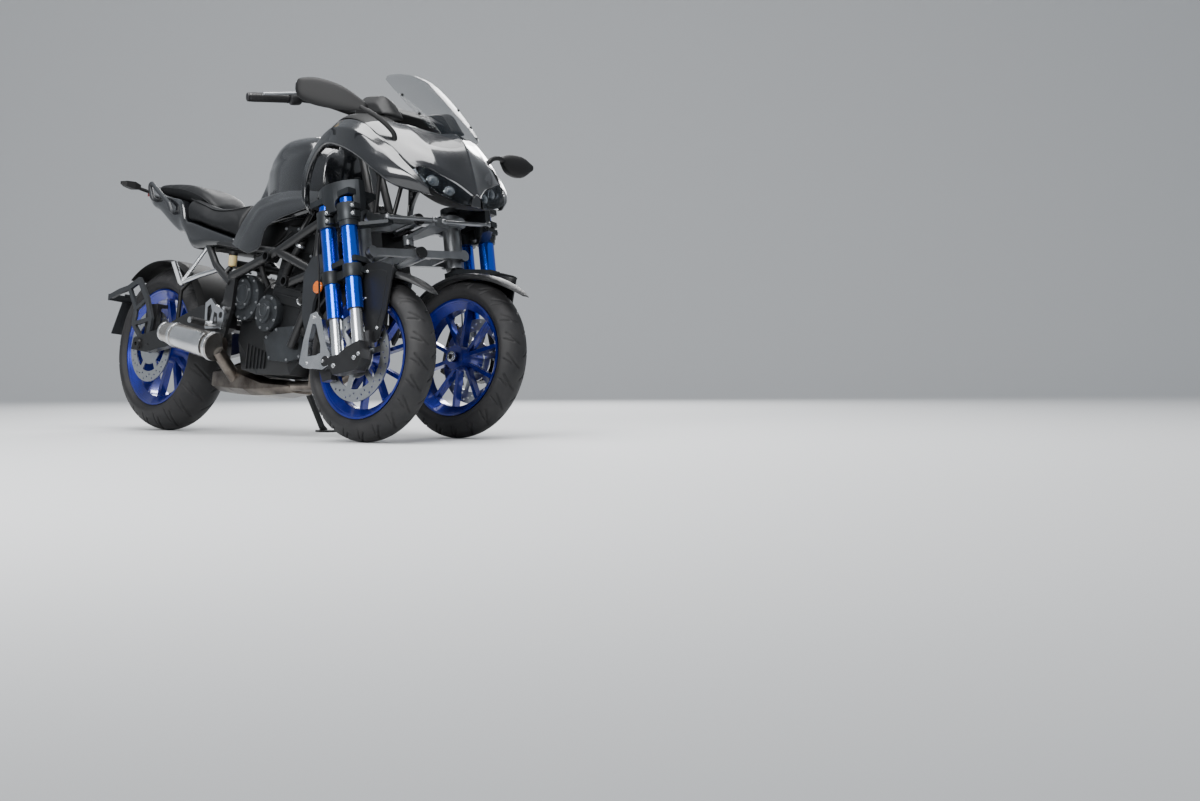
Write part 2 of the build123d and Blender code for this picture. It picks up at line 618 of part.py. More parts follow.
def lean_arm(s, deep_half):
    hub = cyl((-58, 0, 0), (58, 0, 0), 23)
    beam = block(-56, -40, -HALF, HALF, -deep_half, deep_half)
    beam = beam + block(40, 56, -HALF, HALF, -deep_half, deep_half)
    beam = beam + cyl((-56, -HALF, 0), (-40, -HALF, 0), 20) + cyl((40, -HALF, 0), (56, -HALF, 0), 20)
    beam = beam + cyl((-56, HALF, 0), (-40, HALF, 0), 20) + cyl((40, HALF, 0), (56, HALF, 0), 20)
    beam = beam + block(-41, 41, -140, -128, -12, 12) + block(-41, 41, 128, 140, -12, 12)
    beam = beam + block(-41, 41, -40, -30, -12, 12) + block(-41, 41, 30, 40, -12, 12)
    shape = hub + beam
    shape = shape - cyl((-80, 0, 0), (80, 0, 0), 12)
    for q in (-HALF, HALF):
        shape = shape - cyl((-80, q, 0), (80, q, 0), 9)
    return MID * Pos(0, 0, s) * arm_tilt * shape


keep("upper_lean_arm", lean_arm(UPPER_ARM_S, 13))
keep("lower_lean_arm", lean_arm(LOWER_ARM_S, 13))

# Knuckle posts hung between the arm ends, bored for the fork pins.
post = cyl((0, 0, 322), (0, 0, 516), 32)
for s in (UPPER_ARM_S, LOWER_ARM_S):
    post = post + cyl((-56, 0, s), (56, 0, s), 9)
post = post - cyl((0, 0, 500), (0, 0, 520), 14 + RUNNING) - cyl((0, 0, 318), (0, 0, 338), 14 + RUNNING)
keep("knuckles", gather([RIGHT * post, LEFT * post]))

# Fork assemblies, drawn for the right side with outboard at negative Y.
crown = block(-90, 95, -140, -14, 526, 546)
crown = crown + cyl((0, 0, 526), (0, 0, 546), 34) + cyl((0, 0, 502), (0, 0, 530), 14)
cap_outline = Wire([
    Edge.make_line((-88, -70, 480), (-88, -95, 480)),
    Edge.make_three_point_arc((-88, -95, 480), (8, -146, 480), (102, -95, 480)),
    Edge.make_line((102, -95, 480), (102, -70, 480)),
    Edge.make_line((102, -70, 480), (-88, -70, 480)),
])
cap = Solid.extrude(Face(cap_outline), Vector(0, 0, 100))
void = cyl((FRONT_TUBE_P, TUBE_Q, 470), (FRONT_TUBE_P, TUBE_Q, 528), 31)
void = void + cyl((REAR_TUBE_P, TUBE_Q, 470), (REAR_TUBE_P, TUBE_Q, 528), 31)
void = void + cyl((FRONT_TUBE_P, TUBE_Q - 60, 500), (FRONT_TUBE_P, TUBE_Q, 500), 26)
void = void + cyl((REAR_TUBE_P, TUBE_Q - 60, 500), (REAR_TUBE_P, TUBE_Q, 500), 26)
crown = crown + (cap - void)
crown = crown - cyl((FRONT_TUBE_P, TUBE_Q, 470), (FRONT_TUBE_P, TUBE_Q, 524), TUBE_R + FIT)
crown = crown - cyl((REAR_TUBE_P, TUBE_Q, 470), (REAR_TUBE_P, TUBE_Q, 524), TUBE_R + FIT)
lower_yoke = plate_xy([(-75, -130), (92, -130), (92, -80), (30, 24), (-30, 24), (-75, -80)], 296, 314)
lower_yoke = lower_yoke + cyl((0, 0, 314), (0, 0, 334), 14)
track_arm = plate_xy([(46, -84), (84, -100), (TIE_P + 12, -TIE_Q - 12), (TIE_P + 12, -TIE_Q + 12),
                      (TIE_P - 14, -TIE_Q + 12)], TIE_S - 6, TIE_S + 6)
clamps = block(-40, 56, TUBE_Q - 14, TUBE_Q + 14, 450, 492)
for p in (FRONT_TUBE_P, REAR_TUBE_P):
    clamps = clamps + cyl((p, TUBE_Q, 440), (p, TUBE_Q, 500), 37)
    clamps = clamps + cyl((p, TUBE_Q, 246), (p, TUBE_Q, 290), 33)
clamps = clamps + block(-40, 56, TUBE_Q - 10, TUBE_Q + 10, 254, 282)
clamps = clamps + block(60, 92, TUBE_Q + 8, -80, 258, 280)
clamps = clamps + cyl((FRONT_TUBE_P, TUBE_Q, TIE_S - 6), (FRONT_TUBE_P, TUBE_Q, 442), 33)
for p in (FRONT_TUBE_P, REAR_TUBE_P):
    clamps = clamps - cyl((p, TUBE_Q, 200), (p, TUBE_Q, 500), TUBE_R)
    lower_yoke = lower_yoke - cyl((p, TUBE_Q, 200), (p, TUBE_Q, 500), TUBE_R)
    track_arm = track_arm - cyl((p, TUBE_Q, 200), (p, TUBE_Q, 500), TUBE_R)
tubes = []
legs = []
for p, low in ((FRONT_TUBE_P, 140), (REAR_TUBE_P, 130)):
    outer_tube = cyl((p, TUBE_Q, low), (p, TUBE_Q, 520), TUBE_R) - cyl((p, TUBE_Q, low - 1), (p, TUBE_Q, 300), LEG_R + FIT)
    tubes.append(outer_tube)
    legs.append(cyl((p, TUBE_Q, -8 if p > 0 else -16), (p, TUBE_Q, 290), LEG_R))
carrier_block = plate_xz([(-70, -18), (-48, -60), (60, -70), (90, -38), (86, 24), (24, 16), (-14, 2), (-62, 4)], -134, -90)
carrier_block = carrier_block + cyl((0, -100, 0), (0, 52, 0), 12) + cyl((0, 52, 0), (0, 62, 0), 18)
carrier_block = carrier_block + cyl((0, -92, 0), (0, -74, 0), 24)
caliper = plate_xz([(-96, -58), (-140, -55), (-156, 10), (-146, 60), (-108, 66), (-98, 20)], -96, -70)
caliper = caliper + block(-146, -108, -106, -95, 0, 40)
stay_outline = plate_xz([(-140, 174), (-112, 176), (-90, 144), (-80, 60), (-64, 14), (-70, -18), (-104, -26), (-190, 2),
                         (-214, 22), (-184, 96)], -126, -106)
stay_hole = plate_xz([(-134, 140), (-118, 134), (-104, 58), (-108, 26), (-170, 36), (-160, 84)], -130, -100)
stay = (stay_outline - stay_hole) + cyl((-88, -128, -2), (-88, -104, -2), 18)
seat_pads = block(66, 100, -102, -80, 4, 58)
axle_group = carrier_block + stay + caliper + seat_pads
for leg in legs:
    axle_group = axle_group - leg
FRONT_GUARD = [
    # degrees ahead of the fork line, middle and edge height above the tyre, half width
    (-62, 34, 10, 46),
    (-42, 24, -4, 60),
    (-18, 19, -10, 66),
    (8, 19, -8, 66),
    (30, 27, 2, 64),
    (46, 42, 24, 56),
    (58, 56, 46, 38),
    (66, 68, 64, 16),
]
GUARD_T = 4.0
sections = []
for degrees, middle, edge, w in FRONT_GUARD:
    a = math.radians(degrees)
    side = edge * 0.3 + middle * 0.7
    arc = [(-w, edge), (-w * 0.8, side), (0, middle), (w * 0.8, side), (w, edge)]
    inner_arc = [(w - GUARD_T, edge), (w * 0.8 - 3, side - GUARD_T), (0, middle - GUARD_T), (3 - w * 0.8, side - GUARD_T),
                 (GUARD_T - w, edge)]
    sections.append([((FRONT_R + h) * math.sin(a), y, (FRONT_R + h) * math.cos(a)) for y, h in arc + inner_arc])
front_guard = skin(sections)
side_cover = plate_xz([(80, 293), (146, 286), (214, 252), (162, 106), (118, 26), (96, 18), (62, 34), (46, 172)], -80, -71)
front_guard = front_guard + side_cover
lip_rows = []
for degrees, out, inn in ((14, 17, -4), (28, 40, 0), (41, 54, 8)):
    a = math.radians(degrees)
    ring = [(-80, FRONT_R + out), (-58, FRONT_R + out - 8), (-58, FRONT_R + inn), (-80, FRONT_R + inn)]
    lip_rows.append([(r * math.sin(a), y, r * math.cos(a)) for y, r in ring])
front_guard = front_guard + skin(lip_rows)
for p in (FRONT_TUBE_P, REAR_TUBE_P):
    front_guard = front_guard - cyl((p, TUBE_Q, 240), (p, TUBE_Q, 296), 33.4)

fork_upper = crown + clamps + lower_yoke + track_arm


def hand(shape, side):
    if side < 0:
        return RIGHT * TURN * shape
    return LEFT * TURN * flip(shape)


for name, side in (("right", -1), ("left", 1)):
    keep("fork_yokes_" + name, hand(fork_upper, side))
    keep("fork_tubes_" + name, hand(gather(tubes), side))
    keep("fork_legs_" + name, hand(gather(legs), side))
    keep("axle_carrier_" + name, hand(axle_group, side))
    keep("mudguard_" + name, hand(front_guard, side))

# Steering linkage: centre bell crank and two tie rods.
crank = cyl((0, 0, TIE_S - 24), (0, 0, TIE_S + 11), 18)
crank = crank + plate_xy([(0, -16), (TIE_P + 12, -TIE_Q - 12), (TIE_P + 12, TIE_Q + 12), (0, 16)], TIE_S - 6, TIE_S + 6)
crank = crank - cyl((0, 0, TIE_S - 40), (0, 0, TIE_S + 40), 8 + RUNNING)
keep("steering_bellcrank", MID * TURN * crank)


# Wheels about their own axes.
def tyre(radius, crown_r, bead_r, rim_half):
    flange = bead_r + 13
    edge = math.radians(70)
    y1 = crown_r * math.sin(edge)
    r1 = radius - crown_r + crown_r * math.cos(edge)
    wall = 9.0
    outline = [
        Edge.make_line((0, -rim_half + 5, bead_r + FIT), (0, -rim_half + 5, flange)),
        Edge.make_three_point_arc((0, -rim_half + 5, flange), (0, -y1 + 1, (flange + r1) / 2 + 3), (0, -y1, r1)),
        Edge.make_three_point_arc((0, -y1, r1), (0, 0, radius), (0, y1, r1)),
        Edge.make_three_point_arc((0, y1, r1), (0, y1 - 1, (flange + r1) / 2 + 3), (0, rim_half - 5, flange)),
        Edge.make_line((0, rim_half - 5, flange), (0, rim_half - 5, bead_r + FIT)),
        Edge.make_line((0, rim_half - 5, bead_r + FIT), (0, rim_half - 17, bead_r + FIT)),
        Edge.make_line((0, rim_half - 17, bead_r + FIT), (0, y1 - wall - 1, r1)),
        Edge.make_three_point_arc((0, y1 - wall - 1, r1), (0, 0, radius - wall), (0, -y1 + wall + 1, r1)),
        Edge.make_line((0, -y1 + wall + 1, r1), (0, -rim_half + 17, bead_r + FIT)),
        Edge.make_line((0, -rim_half + 17, bead_r + FIT), (0, -rim_half + 5, bead_r + FIT)),
    ]
    return Solid.revolve(Face(Wire(outline)), 360, Axis((0, 0, 0), (0, 1, 0)))


def rim(bead_r, rim_half, hub_r, hub0, hub1, bore_r, spoke_w):
    barrel_part = ring_y([
        (-rim_half, bead_r + 12.7), (-rim_half + 4.7, bead_r + 12.7), (-rim_half + 4.7, bead_r), (-rim_half + 22, bead_r),
        (-rim_half + 30, bead_r - 16), (rim_half - 30, bead_r - 16), (rim_half - 22, bead_r), (rim_half - 4.7, bead_r),
        (rim_half - 4.7, bead_r + 12.7), (rim_half, bead_r + 12.7), (rim_half, bead_r + 6), (rim_half - 26, bead_r - 22),
        (-rim_half + 26, bead_r - 22), (-rim_half, bead_r + 6)])
    solid = barrel_part + disc_y(hub0, hub1, hub_r)
    for i in range(5):
        for side in (-1, 1):
            a = math.radians(72 * i + side * 8)
            b = math.radians(72 * i + side * 17)
            start = (hub_r * 0.8 * math.sin(a), hub_r * 0.8 * math.cos(a))
            end = ((bead_r - 18) * math.sin(b), (bead_r - 18) * math.cos(b))
            dx, dz = end[0] - start[0], end[1] - start[1]
            n = math.hypot(dx, dz)
            ox, oz = -dz / n * spoke_w / 2, dx / n * spoke_w / 2
            solid = solid + plate_xz([(start[0] + ox, start[1] + oz), (end[0] + ox, end[1] + oz),
                                      (end[0] - ox, end[1] - oz), (start[0] - ox, start[1] - oz)], -13, 13)
    return solid - disc_y(hub0 - 5, hub1 + 5, bore_r)


def brake_disc(radius, inner_r, y0, y1, carrier_r, bore_r, holes):
    rotor = disc_y(y0, y1, radius, inner_r)
    for i in range(holes):
        a = 2 * math.pi * i / holes
        r = radius - 10 - 9 * (i % 3)
        x, z = r * math.cos(a), r * math.sin(a)
        rotor = rotor - cyl((x, y0 - 1, z), (x, y1 + 1, z), 3.5)
    middle = disc_y(y0, y1, carrier_r, bore_r)
    for i in range(6):
        a = math.radians(60 * i)
        x0, z0 = (carrier_r - 8) * math.cos(a), (carrier_r - 8) * math.sin(a)
        x1, z1 = (inner_r + 6) * math.cos(a), (inner_r + 6) * math.sin(a)
        dx, dz = -math.sin(a) * 10, math.cos(a) * 10
        middle = middle + plate_xz([(x0 + dx, z0 + dz), (x1 + dx, z1 + dz), (x1 - dx, z1 - dz), (x0 - dx, z0 - dz)], y0, y1)
    return rotor + middle


front_tyre = tyre(FRONT_R, FRONT_CROWN, FRONT_BEAD_R, FRONT_RIM_HALF)
front_rim = rim(FRONT_BEAD_R, FRONT_RIM_HALF, 42, -56, 44, 12 + RUNNING, 13)
front_disc = brake_disc(FRONT_DISC_R, 108, -64, -59, 70, 30, 45)
front_disc = front_disc + disc_y(-59.5, -56, 44, 30)
for name, side in (("right", -1), ("left", 1)):
    keep("front_tyre_" + name, hand(front_tyre, side))
    keep("front_rim_" + name, hand(front_rim, side))
    keep("front_disc_" + name, hand(front_disc, side))

REAR = Location((0, 0, REAR_R))
rear_tyre = tyre(REAR_R, REAR_CROWN, REAR_BEAD_R, REAR_RIM_HALF)
rear_rim = rim(REAR_BEAD_R, REAR_RIM_HALF, 58, -98, 100, 12.5 + RUNNING, 20)
rear_disc = brake_disc(REAR_DISC_R, 100, -108, -103, 72, 30, 42)
rear_disc = rear_disc + disc_y(-103.5, -98, 50, 30)
sprocket = disc_y(SPROCKET_Y - 4, SPROCKET_Y + 4, REAR_SPROCKET_R - 6, 13.0)
sprocket = sprocket + disc_y(100, SPROCKET_Y - 3, 60, 13.0)
keep_on_arm("rear_tyre", REAR * rear_tyre)
keep_on_arm("rear_rim", REAR * rear_rim)
keep_on_arm("rear_disc", REAR * rear_disc)
keep_on_arm("rear_sprocket", REAR * sprocket)

# Rear brake caliper on the right arm of the swinging arm.
rear_caliper = plate_xz([(-18, REAR_R + 20), (62, REAR_R + 20), (62, REAR_R + 82), (-20, REAR_R + 82)], -131, -121)
rear_caliper = rear_caliper - cyl((0, -200, REAR_R), (0, 0, REAR_R), 26)
rear_caliper = rear_caliper + block(-20, 60, -130, -112, REAR_R + 78, REAR_R + 150)
rear_caliper = rear_caliper + block(-20, 60, -130, -84, REAR_R + 146, REAR_R + 160)
rear_caliper = rear_caliper - swing
rear_caliper = max(rear_caliper.solids(), key=lambda one: one.volume)
keep_on_arm("rear_caliper", rear_caliper)

# Drive chain: one closed loop round both sprockets.
gap_x = ARM_LENGTH + DRIVE_SPROCKET_X
gap_z = DRIVE_SPROCKET_Z - REAR_R
span = math.hypot(gap_x, gap_z)
tilt = math.atan2(gap_z, gap_x)


def belt(r_big, r_small, y0, y1):
    lift = math.asin((r_big - r_small) / span)
    corners = []
    for cx, cz, r, sign in ((0, REAR_R, r_big, 1), (gap_x, REAR_R + gap_z, r_small, 1),
                            (gap_x, REAR_R + gap_z, r_small, -1), (0, REAR_R, r_big, -1)):
        a = tilt + sign * (math.pi / 2 - lift)
        corners.append((cx + r * math.cos(a), cz + r * math.sin(a)))
    solid = plate_xz(corners, y0, y1)
    solid = solid + cyl((0, y0, REAR_R), (0, y1, REAR_R), r_big)
    return solid + cyl((gap_x, y0, REAR_R + gap_z), (gap_x, y1, REAR_R + gap_z), r_small)


chain = belt(REAR_SPROCKET_R + 9, DRIVE_SPROCKET_R + 9, SPROCKET_Y - 9, SPROCKET_Y + 9)
chain = chain - belt(REAR_SPROCKET_R - 5, DRIVE_SPROCKET_R - 5, SPROCKET_Y - 10, SPROCKET_Y + 10)
keep_on_arm("drive_chain", chain)

# Handlebar on its own raked stem.
bar = run_of([(-2, 0, 34), (-2, -70, 36), (-40, -170, 62), (-75, -250, 66), (-125, -345, 62)], 11)
bar = twin(bar)
grip = cyl((-88, -275, 65), (-152, -398, 60), 16)
bar = bar + cyl((0, 0, -40), (0, 0, 24), 15) + cyl((0, 0, -66), (0, 0, -38), 10) + block(-22, 20, -48, 48, 10, 26)
bar = bar + block(-22, 20, -48, -28, 20, 42) + block(-22, 20, 28, 48, 20, 42)
bar = twin(bar + grip)
keep("handlebar", STEM * TURN * bar)

# Side stand with its foot flat on the ground.
stand_leg = cyl((664, 162, 194), (690, 236, 46), 12)
stand_leg = stand_leg + cyl((662, 148.3, 208), (662, 166.2, 208), 17)
stand_leg = stand_leg - cyl((662, 166.2, 208), (662, 190, 208), 16)
stand_leg = stand_leg - cyl((662, 100, 208), (662, 200, 208), 9 + RUNNING)
stand = (PARK * stand_leg) + block(655, 735, 222, 262, 0, 8)
stand = stand + cyl((692, 240, 4), tuple((PARK * Pos(690, 236, 46)).position), 13)
stand = stand & block(500, 900, 0, 500, 0, 500)
nodes["side_stand"] = BODY * stand

# Tie rods keep their heading while they swing.
for name, side in (("right", -1), ("left", 1)):
    turned_p = TIE_P * math.cos(math.radians(PARKED_STEER)) - side * TIE_Q * math.sin(math.radians(PARKED_STEER))
    turned_q = TIE_P * math.sin(math.radians(PARKED_STEER)) + side * TIE_Q * math.cos(math.radians(PARKED_STEER))
    a = (turned_p, turned_q, TIE_S + 20)
    b = (turned_p, turned_q + side * HALF * COS_P, TIE_S + 20 + side * HALF * SIN_P)
    rod = cyl(a, b, 7) + ball(a, 12) + ball(b, 12)
    rod = rod + cyl((a[0], a[1], TIE_S + 6), a, 5)
    keep("tie_rod_" + name, MID * rod)

# Common origin: centre of the footprint on the ground.
low = [1e9, 1e9, 1e9]
high = [-1e9, -1e9, -1e9]
for shape in nodes.values():
    box = shape.bounding_box()
    low = [min(low[0], box.min.X), min(low[1], box.min.Y), min(low[2], box.min.Z)]
    high = [max(high[0], box.max.X), max(high[1], box.max.Y), max(high[2], box.max.Z)]
SHIFT = Location((-(low[0] + high[0]) / 2, -(low[1] + high[1]) / 2, -low[2]))
for name, shape in nodes.items():
    export_step(SHIFT * shape, "parts/" + name + ".step")
print("size", [round(high[i] - low[i], 1) for i in range(3)])
print("shift", [round(v, 2) for v in SHIFT.position])
for name, location in (("right", RIGHT), ("left", LEFT), ("mid", MID)):
    place = SHIFT * PARK * location
    print(name, [round(v, 3) for v in place.position])
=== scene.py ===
import json
import math

import bmesh
import bpy
from mathutils import Matrix, Vector
from mathutils.bvhtree import BVHTree


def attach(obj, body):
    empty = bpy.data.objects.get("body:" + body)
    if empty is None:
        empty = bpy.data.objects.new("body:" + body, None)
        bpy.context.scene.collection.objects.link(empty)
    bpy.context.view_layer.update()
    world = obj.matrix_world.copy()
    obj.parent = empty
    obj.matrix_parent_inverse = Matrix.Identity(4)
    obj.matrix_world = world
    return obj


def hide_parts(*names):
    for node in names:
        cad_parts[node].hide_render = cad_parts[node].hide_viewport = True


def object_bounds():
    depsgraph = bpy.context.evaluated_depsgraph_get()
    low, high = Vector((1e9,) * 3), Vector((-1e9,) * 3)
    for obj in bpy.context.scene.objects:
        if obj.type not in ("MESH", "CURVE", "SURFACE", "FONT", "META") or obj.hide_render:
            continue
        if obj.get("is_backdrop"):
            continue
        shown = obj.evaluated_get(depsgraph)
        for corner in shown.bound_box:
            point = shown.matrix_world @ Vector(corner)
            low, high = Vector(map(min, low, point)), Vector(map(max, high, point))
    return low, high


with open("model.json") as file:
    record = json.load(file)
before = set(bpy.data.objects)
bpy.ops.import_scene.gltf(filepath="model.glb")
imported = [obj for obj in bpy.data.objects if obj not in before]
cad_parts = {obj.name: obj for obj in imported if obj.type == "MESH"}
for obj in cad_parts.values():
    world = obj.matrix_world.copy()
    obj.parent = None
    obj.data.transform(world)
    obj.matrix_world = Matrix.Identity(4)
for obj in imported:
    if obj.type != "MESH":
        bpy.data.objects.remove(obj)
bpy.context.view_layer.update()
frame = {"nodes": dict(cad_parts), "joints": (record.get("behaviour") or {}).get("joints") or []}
nodes = frame["nodes"]
scene = bpy.context.scene

# The studio: a plain pale floor that runs up into the background far behind
# the vehicle, large soft lamps overhead and at the sides, and the camera of the
# photograph, low and ahead of the right front wheel.
def linear(hex_value):
    text = hex_value.lstrip("#")
    out = []
    for i in (0, 2, 4):
        c = int(text[i:i + 2], 16) / 255
        out.append(c / 12.92 if c <= 0.04045 else ((c + 0.055) / 1.055) ** 2.4)
    return (out[0], out[1], out[2], 1.0)


def node(tree, kind, settings=(), links=()):
    """Adds one shader node, sets sockets or attributes, and links its inputs."""
    made = tree.nodes.new(kind)
    for key, value in dict(settings).items():
        if isinstance(key, int) or key in made.inputs:
            made.inputs[key].default_value = value
        else:
            setattr(made, key, value)
    for key, source in dict(links).items():
        tree.links.new(source, made.inputs[key])
    return made


def finish_named(name, values=()):
    """A new material, its node tree and its Principled shader with these values."""
    made = bpy.data.materials.new(name)
    made.use_nodes = True
    shader = made.node_tree.nodes["Principled BSDF"]
    for key, value in dict(values).items():
        shader.inputs[key].default_value = value
    return made, made.node_tree, shader


def noise(tree, spot, scale, detail):
    """A noise texture in the object's own metres."""
    return node(tree, "ShaderNodeTexNoise", {"Scale": scale, "Detail": detail},
                {"Vector": spot.outputs["Object"]})


def two_toned(tree, shader, value, low, dark, high, light):
    """Colours the shader from dark to light where a value runs low to high."""
    ramp = node(tree, "ShaderNodeValToRGB", {}, {"Fac": value})
    for stop, place, colour in zip(ramp.color_ramp.elements, (low, high), (dark, light)):
        stop.position = place
        stop.color = colour
    tree.links.new(ramp.outputs["Color"], shader.inputs["Base Color"])


def dimmed(hex_value, share):
    """A share of a colour's light."""
    return [c * share for c in linear(hex_value)[:3]] + [1.0]


def bumped(tree, shader, height, strength, metres):
    """Raises a fine relief on the shader from a height value."""
    bump = node(tree, "ShaderNodeBump", {"Strength": strength, "Distance": metres}, {"Height": height})
    tree.links.new(bump.outputs["Normal"], shader.inputs["Normal"])


def uneven(tree, shader, socket, value, low, high):
    """Spreads a 0 to 1 value over the wanted range of one shader input."""
    spread = node(tree, "ShaderNodeMapRange", {"To Min": low, "To Max": high}, {"Value": value})
    tree.links.new(spread.outputs["Result"], shader.inputs[socket])


def put(obj, material):
    """Gives one object, CAD node or new piece, a single material."""
    obj.data.materials.clear()
    obj.data.materials.append(material)
    return obj


FLOOR_HALF_WIDTH, BEND_AT, BEND_RADIUS = 14.0, 6.0, 3.0   # metres, the bend as far off behind
floor_mesh = bpy.data.meshes.new("studio_floor")
profile = [(-16.0, 0.0), (BEND_AT, 0.0)]
for step in range(1, 9):
    turn = math.radians(step * 90 / 8)
    profile.append((BEND_AT + BEND_RADIUS * math.sin(turn), BEND_RADIUS - BEND_RADIUS * math.cos(turn)))
profile.append((BEND_AT + BEND_RADIUS, 9.0))
view_flat = Vector((-0.7064, 0.7078, 0.0))
across = Vector((0.7078, 0.7064, 0.0))
points, faces = [], []
for row, (away, up) in enumerate(profile):
    for side in (-FLOOR_HALF_WIDTH, FLOOR_HALF_WIDTH):
        spot = view_flat * away + across * side
        points.append((spot.x, spot.y, up))
    if row:
        faces.append((2 * row - 2, 2 * row - 1, 2 * row + 1, 2 * row))
floor_mesh.from_pydata(points, [], faces)
floor_mesh.update()
for face in floor_mesh.polygons:
    face.use_smooth = True
studio_floor = bpy.data.objects.new("studio_floor", floor_mesh)
scene.collection.objects.link(studio_floor)
floor_paint, tree, shader = finish_named("matt_studio_paper", {
    "Base Color": linear("#c9cacb"), "Roughness": 0.85})
grain = node(tree, "ShaderNodeTexNoise", {"Scale": 60.0, "Detail": 3.0})
bumped(tree, shader, grain.outputs["Fac"], 0.05, 0.001)
put(studio_floor, floor_paint)
studio_floor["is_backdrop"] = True

DRAWN_TO_FRAME = (-0.71503, -0.11034)   # metres from the drawing's origin to the shared one
camera_data = bpy.data.cameras.new("camera")
camera_data.sensor_width = 36.0
camera_data.lens = 56.383
camera_data.clip_end = 200.0
camera = bpy.data.objects.new("camera", camera_data)
scene.collection.objects.link(camera)
heading, dip, roll = 44.959, 1.274, -0.331   # degrees, as matched to the photograph
turned = Matrix.Rotation(math.radians(heading), 4, "Z") @ Matrix.Rotation(math.radians(90 - dip), 4, "X")
turned = turned @ Matrix.Rotation(math.radians(roll), 4, "Z")
stood = (6.4231 + DRAWN_TO_FRAME[0], -4.0328 + DRAWN_TO_FRAME[1], 0.2701)
camera.matrix_world = Matrix.Translation(stood) @ turned
scene.camera = camera

world = bpy.data.worlds.new("studio_air")
world.use_nodes = True
world.node_tree.nodes["Background"].inputs["Color"].default_value = linear("#e4eaf1")
world.node_tree.nodes["Background"].inputs["Strength"].default_value = 0.6
scene.world = world
SOFTBOXES = [
    # name, place, size, watts, aimed at
    ("overhead_softbox", (0.6, -0.4, 4.2), (3.6, 2.6), 360.0, (0.1, 0.0, 0.5)),
    ("right_front_softbox", (2.6, -4.2, 2.6), (2.4, 1.6), 260.0, (0.4, 0.0, 0.6)),
    ("left_back_softbox", (-2.8, 3.6, 2.6), (2.4, 1.8), 200.0, (0.0, 0.0, 0.6)),
]
for name, place, size, watts, aim in SOFTBOXES:
    lamp = bpy.data.lights.new(name, "AREA")
    lamp.shape = "RECTANGLE"
    lamp.size, lamp.size_y = size
    lamp.energy = watts
    holder = bpy.data.objects.new(name, lamp)
    scene.collection.objects.link(holder)
    holder.location = place
    holder.rotation_euler = (Vector(aim) - Vector(place)).to_track_quat("-Z", "Y").to_euler()


# The three road tyres: moulded rubber with a rounded motorcycle crown, cut with
# slanted grooves, staggered from one side to the other, and smooth sidewalls
# with two fine rings. Each is built about its own axle.
joint_table = {joint["name"]: joint for joint in frame["joints"]}
TYRES = [
    # node, axle joint, body, radius, crown radius, bead radius, half rim width, pitches, steps across
    ("front_tyre_right", "wheel_right_spin", "wheel_right", 0.2745, 0.060, 0.1905, 0.046, 22, 42),
    ("front_tyre_left", "wheel_left_spin", "wheel_left", 0.2745, 0.060, 0.1905, 0.046, 22, 42),
    ("rear_tyre", "rear_wheel_spin", "rear_wheel", 0.320, 0.095, 0.216, 0.074, 22, 52),
]
GROOVES = [
    # from and to across the half tread, start along the pitch, slant, half width
    (0.06, 0.80, 0.05, 0.85, 0.050),
    (0.40, 0.97, 0.18, 0.40, 0.038),
]


def axle_place(joint_name):
    """The matrix of a turning piece: its middle, with local Y along its axle."""
    joint = joint_table[joint_name]
    axle = Vector(joint["axis"]).normalized()
    ahead = axle.cross(Vector((0.0, 0.0, 1.0))).normalized()
    made = Matrix((ahead, axle, ahead.cross(axle))).transposed().to_4x4()
    made.translation = Vector(joint["pos_m"])
    return made


def groove_cut(along, across_tread):
    """How deep the tread is cut, 0 to 1, at a place along one pitch and across."""
    out = abs(across_tread)
    shift = 0.0 if across_tread > 0 else 0.5
    deepest = 0.0
    for begin, stop, start, slant, width in GROOVES:
        if out < begin or out > stop:
            continue
        middle = start + shift + slant * (out - begin)
        away = abs((along - middle + 0.5) % 1.0 - 0.5)
        ends = min(1.0, (out - begin) / 0.05, (stop - out) / 0.05)
        if away < width:
            deepest = max(deepest, min(1.0, (width - away) / 0.018) * ends)
    return deepest


def mesh_piece(name, points, faces, place=None, smooth=True):
    """A new object from points and faces, put in place and shaded smooth."""
    mesh = bpy.data.meshes.new(name)
    mesh.from_pydata(points, [], faces)
    if place is not None:
        mesh.transform(place)
    mesh.update()
    for face in mesh.polygons:
        face.use_smooth = smooth
    made = bpy.data.objects.new(name, mesh)
    scene.collection.objects.link(made)
    return made


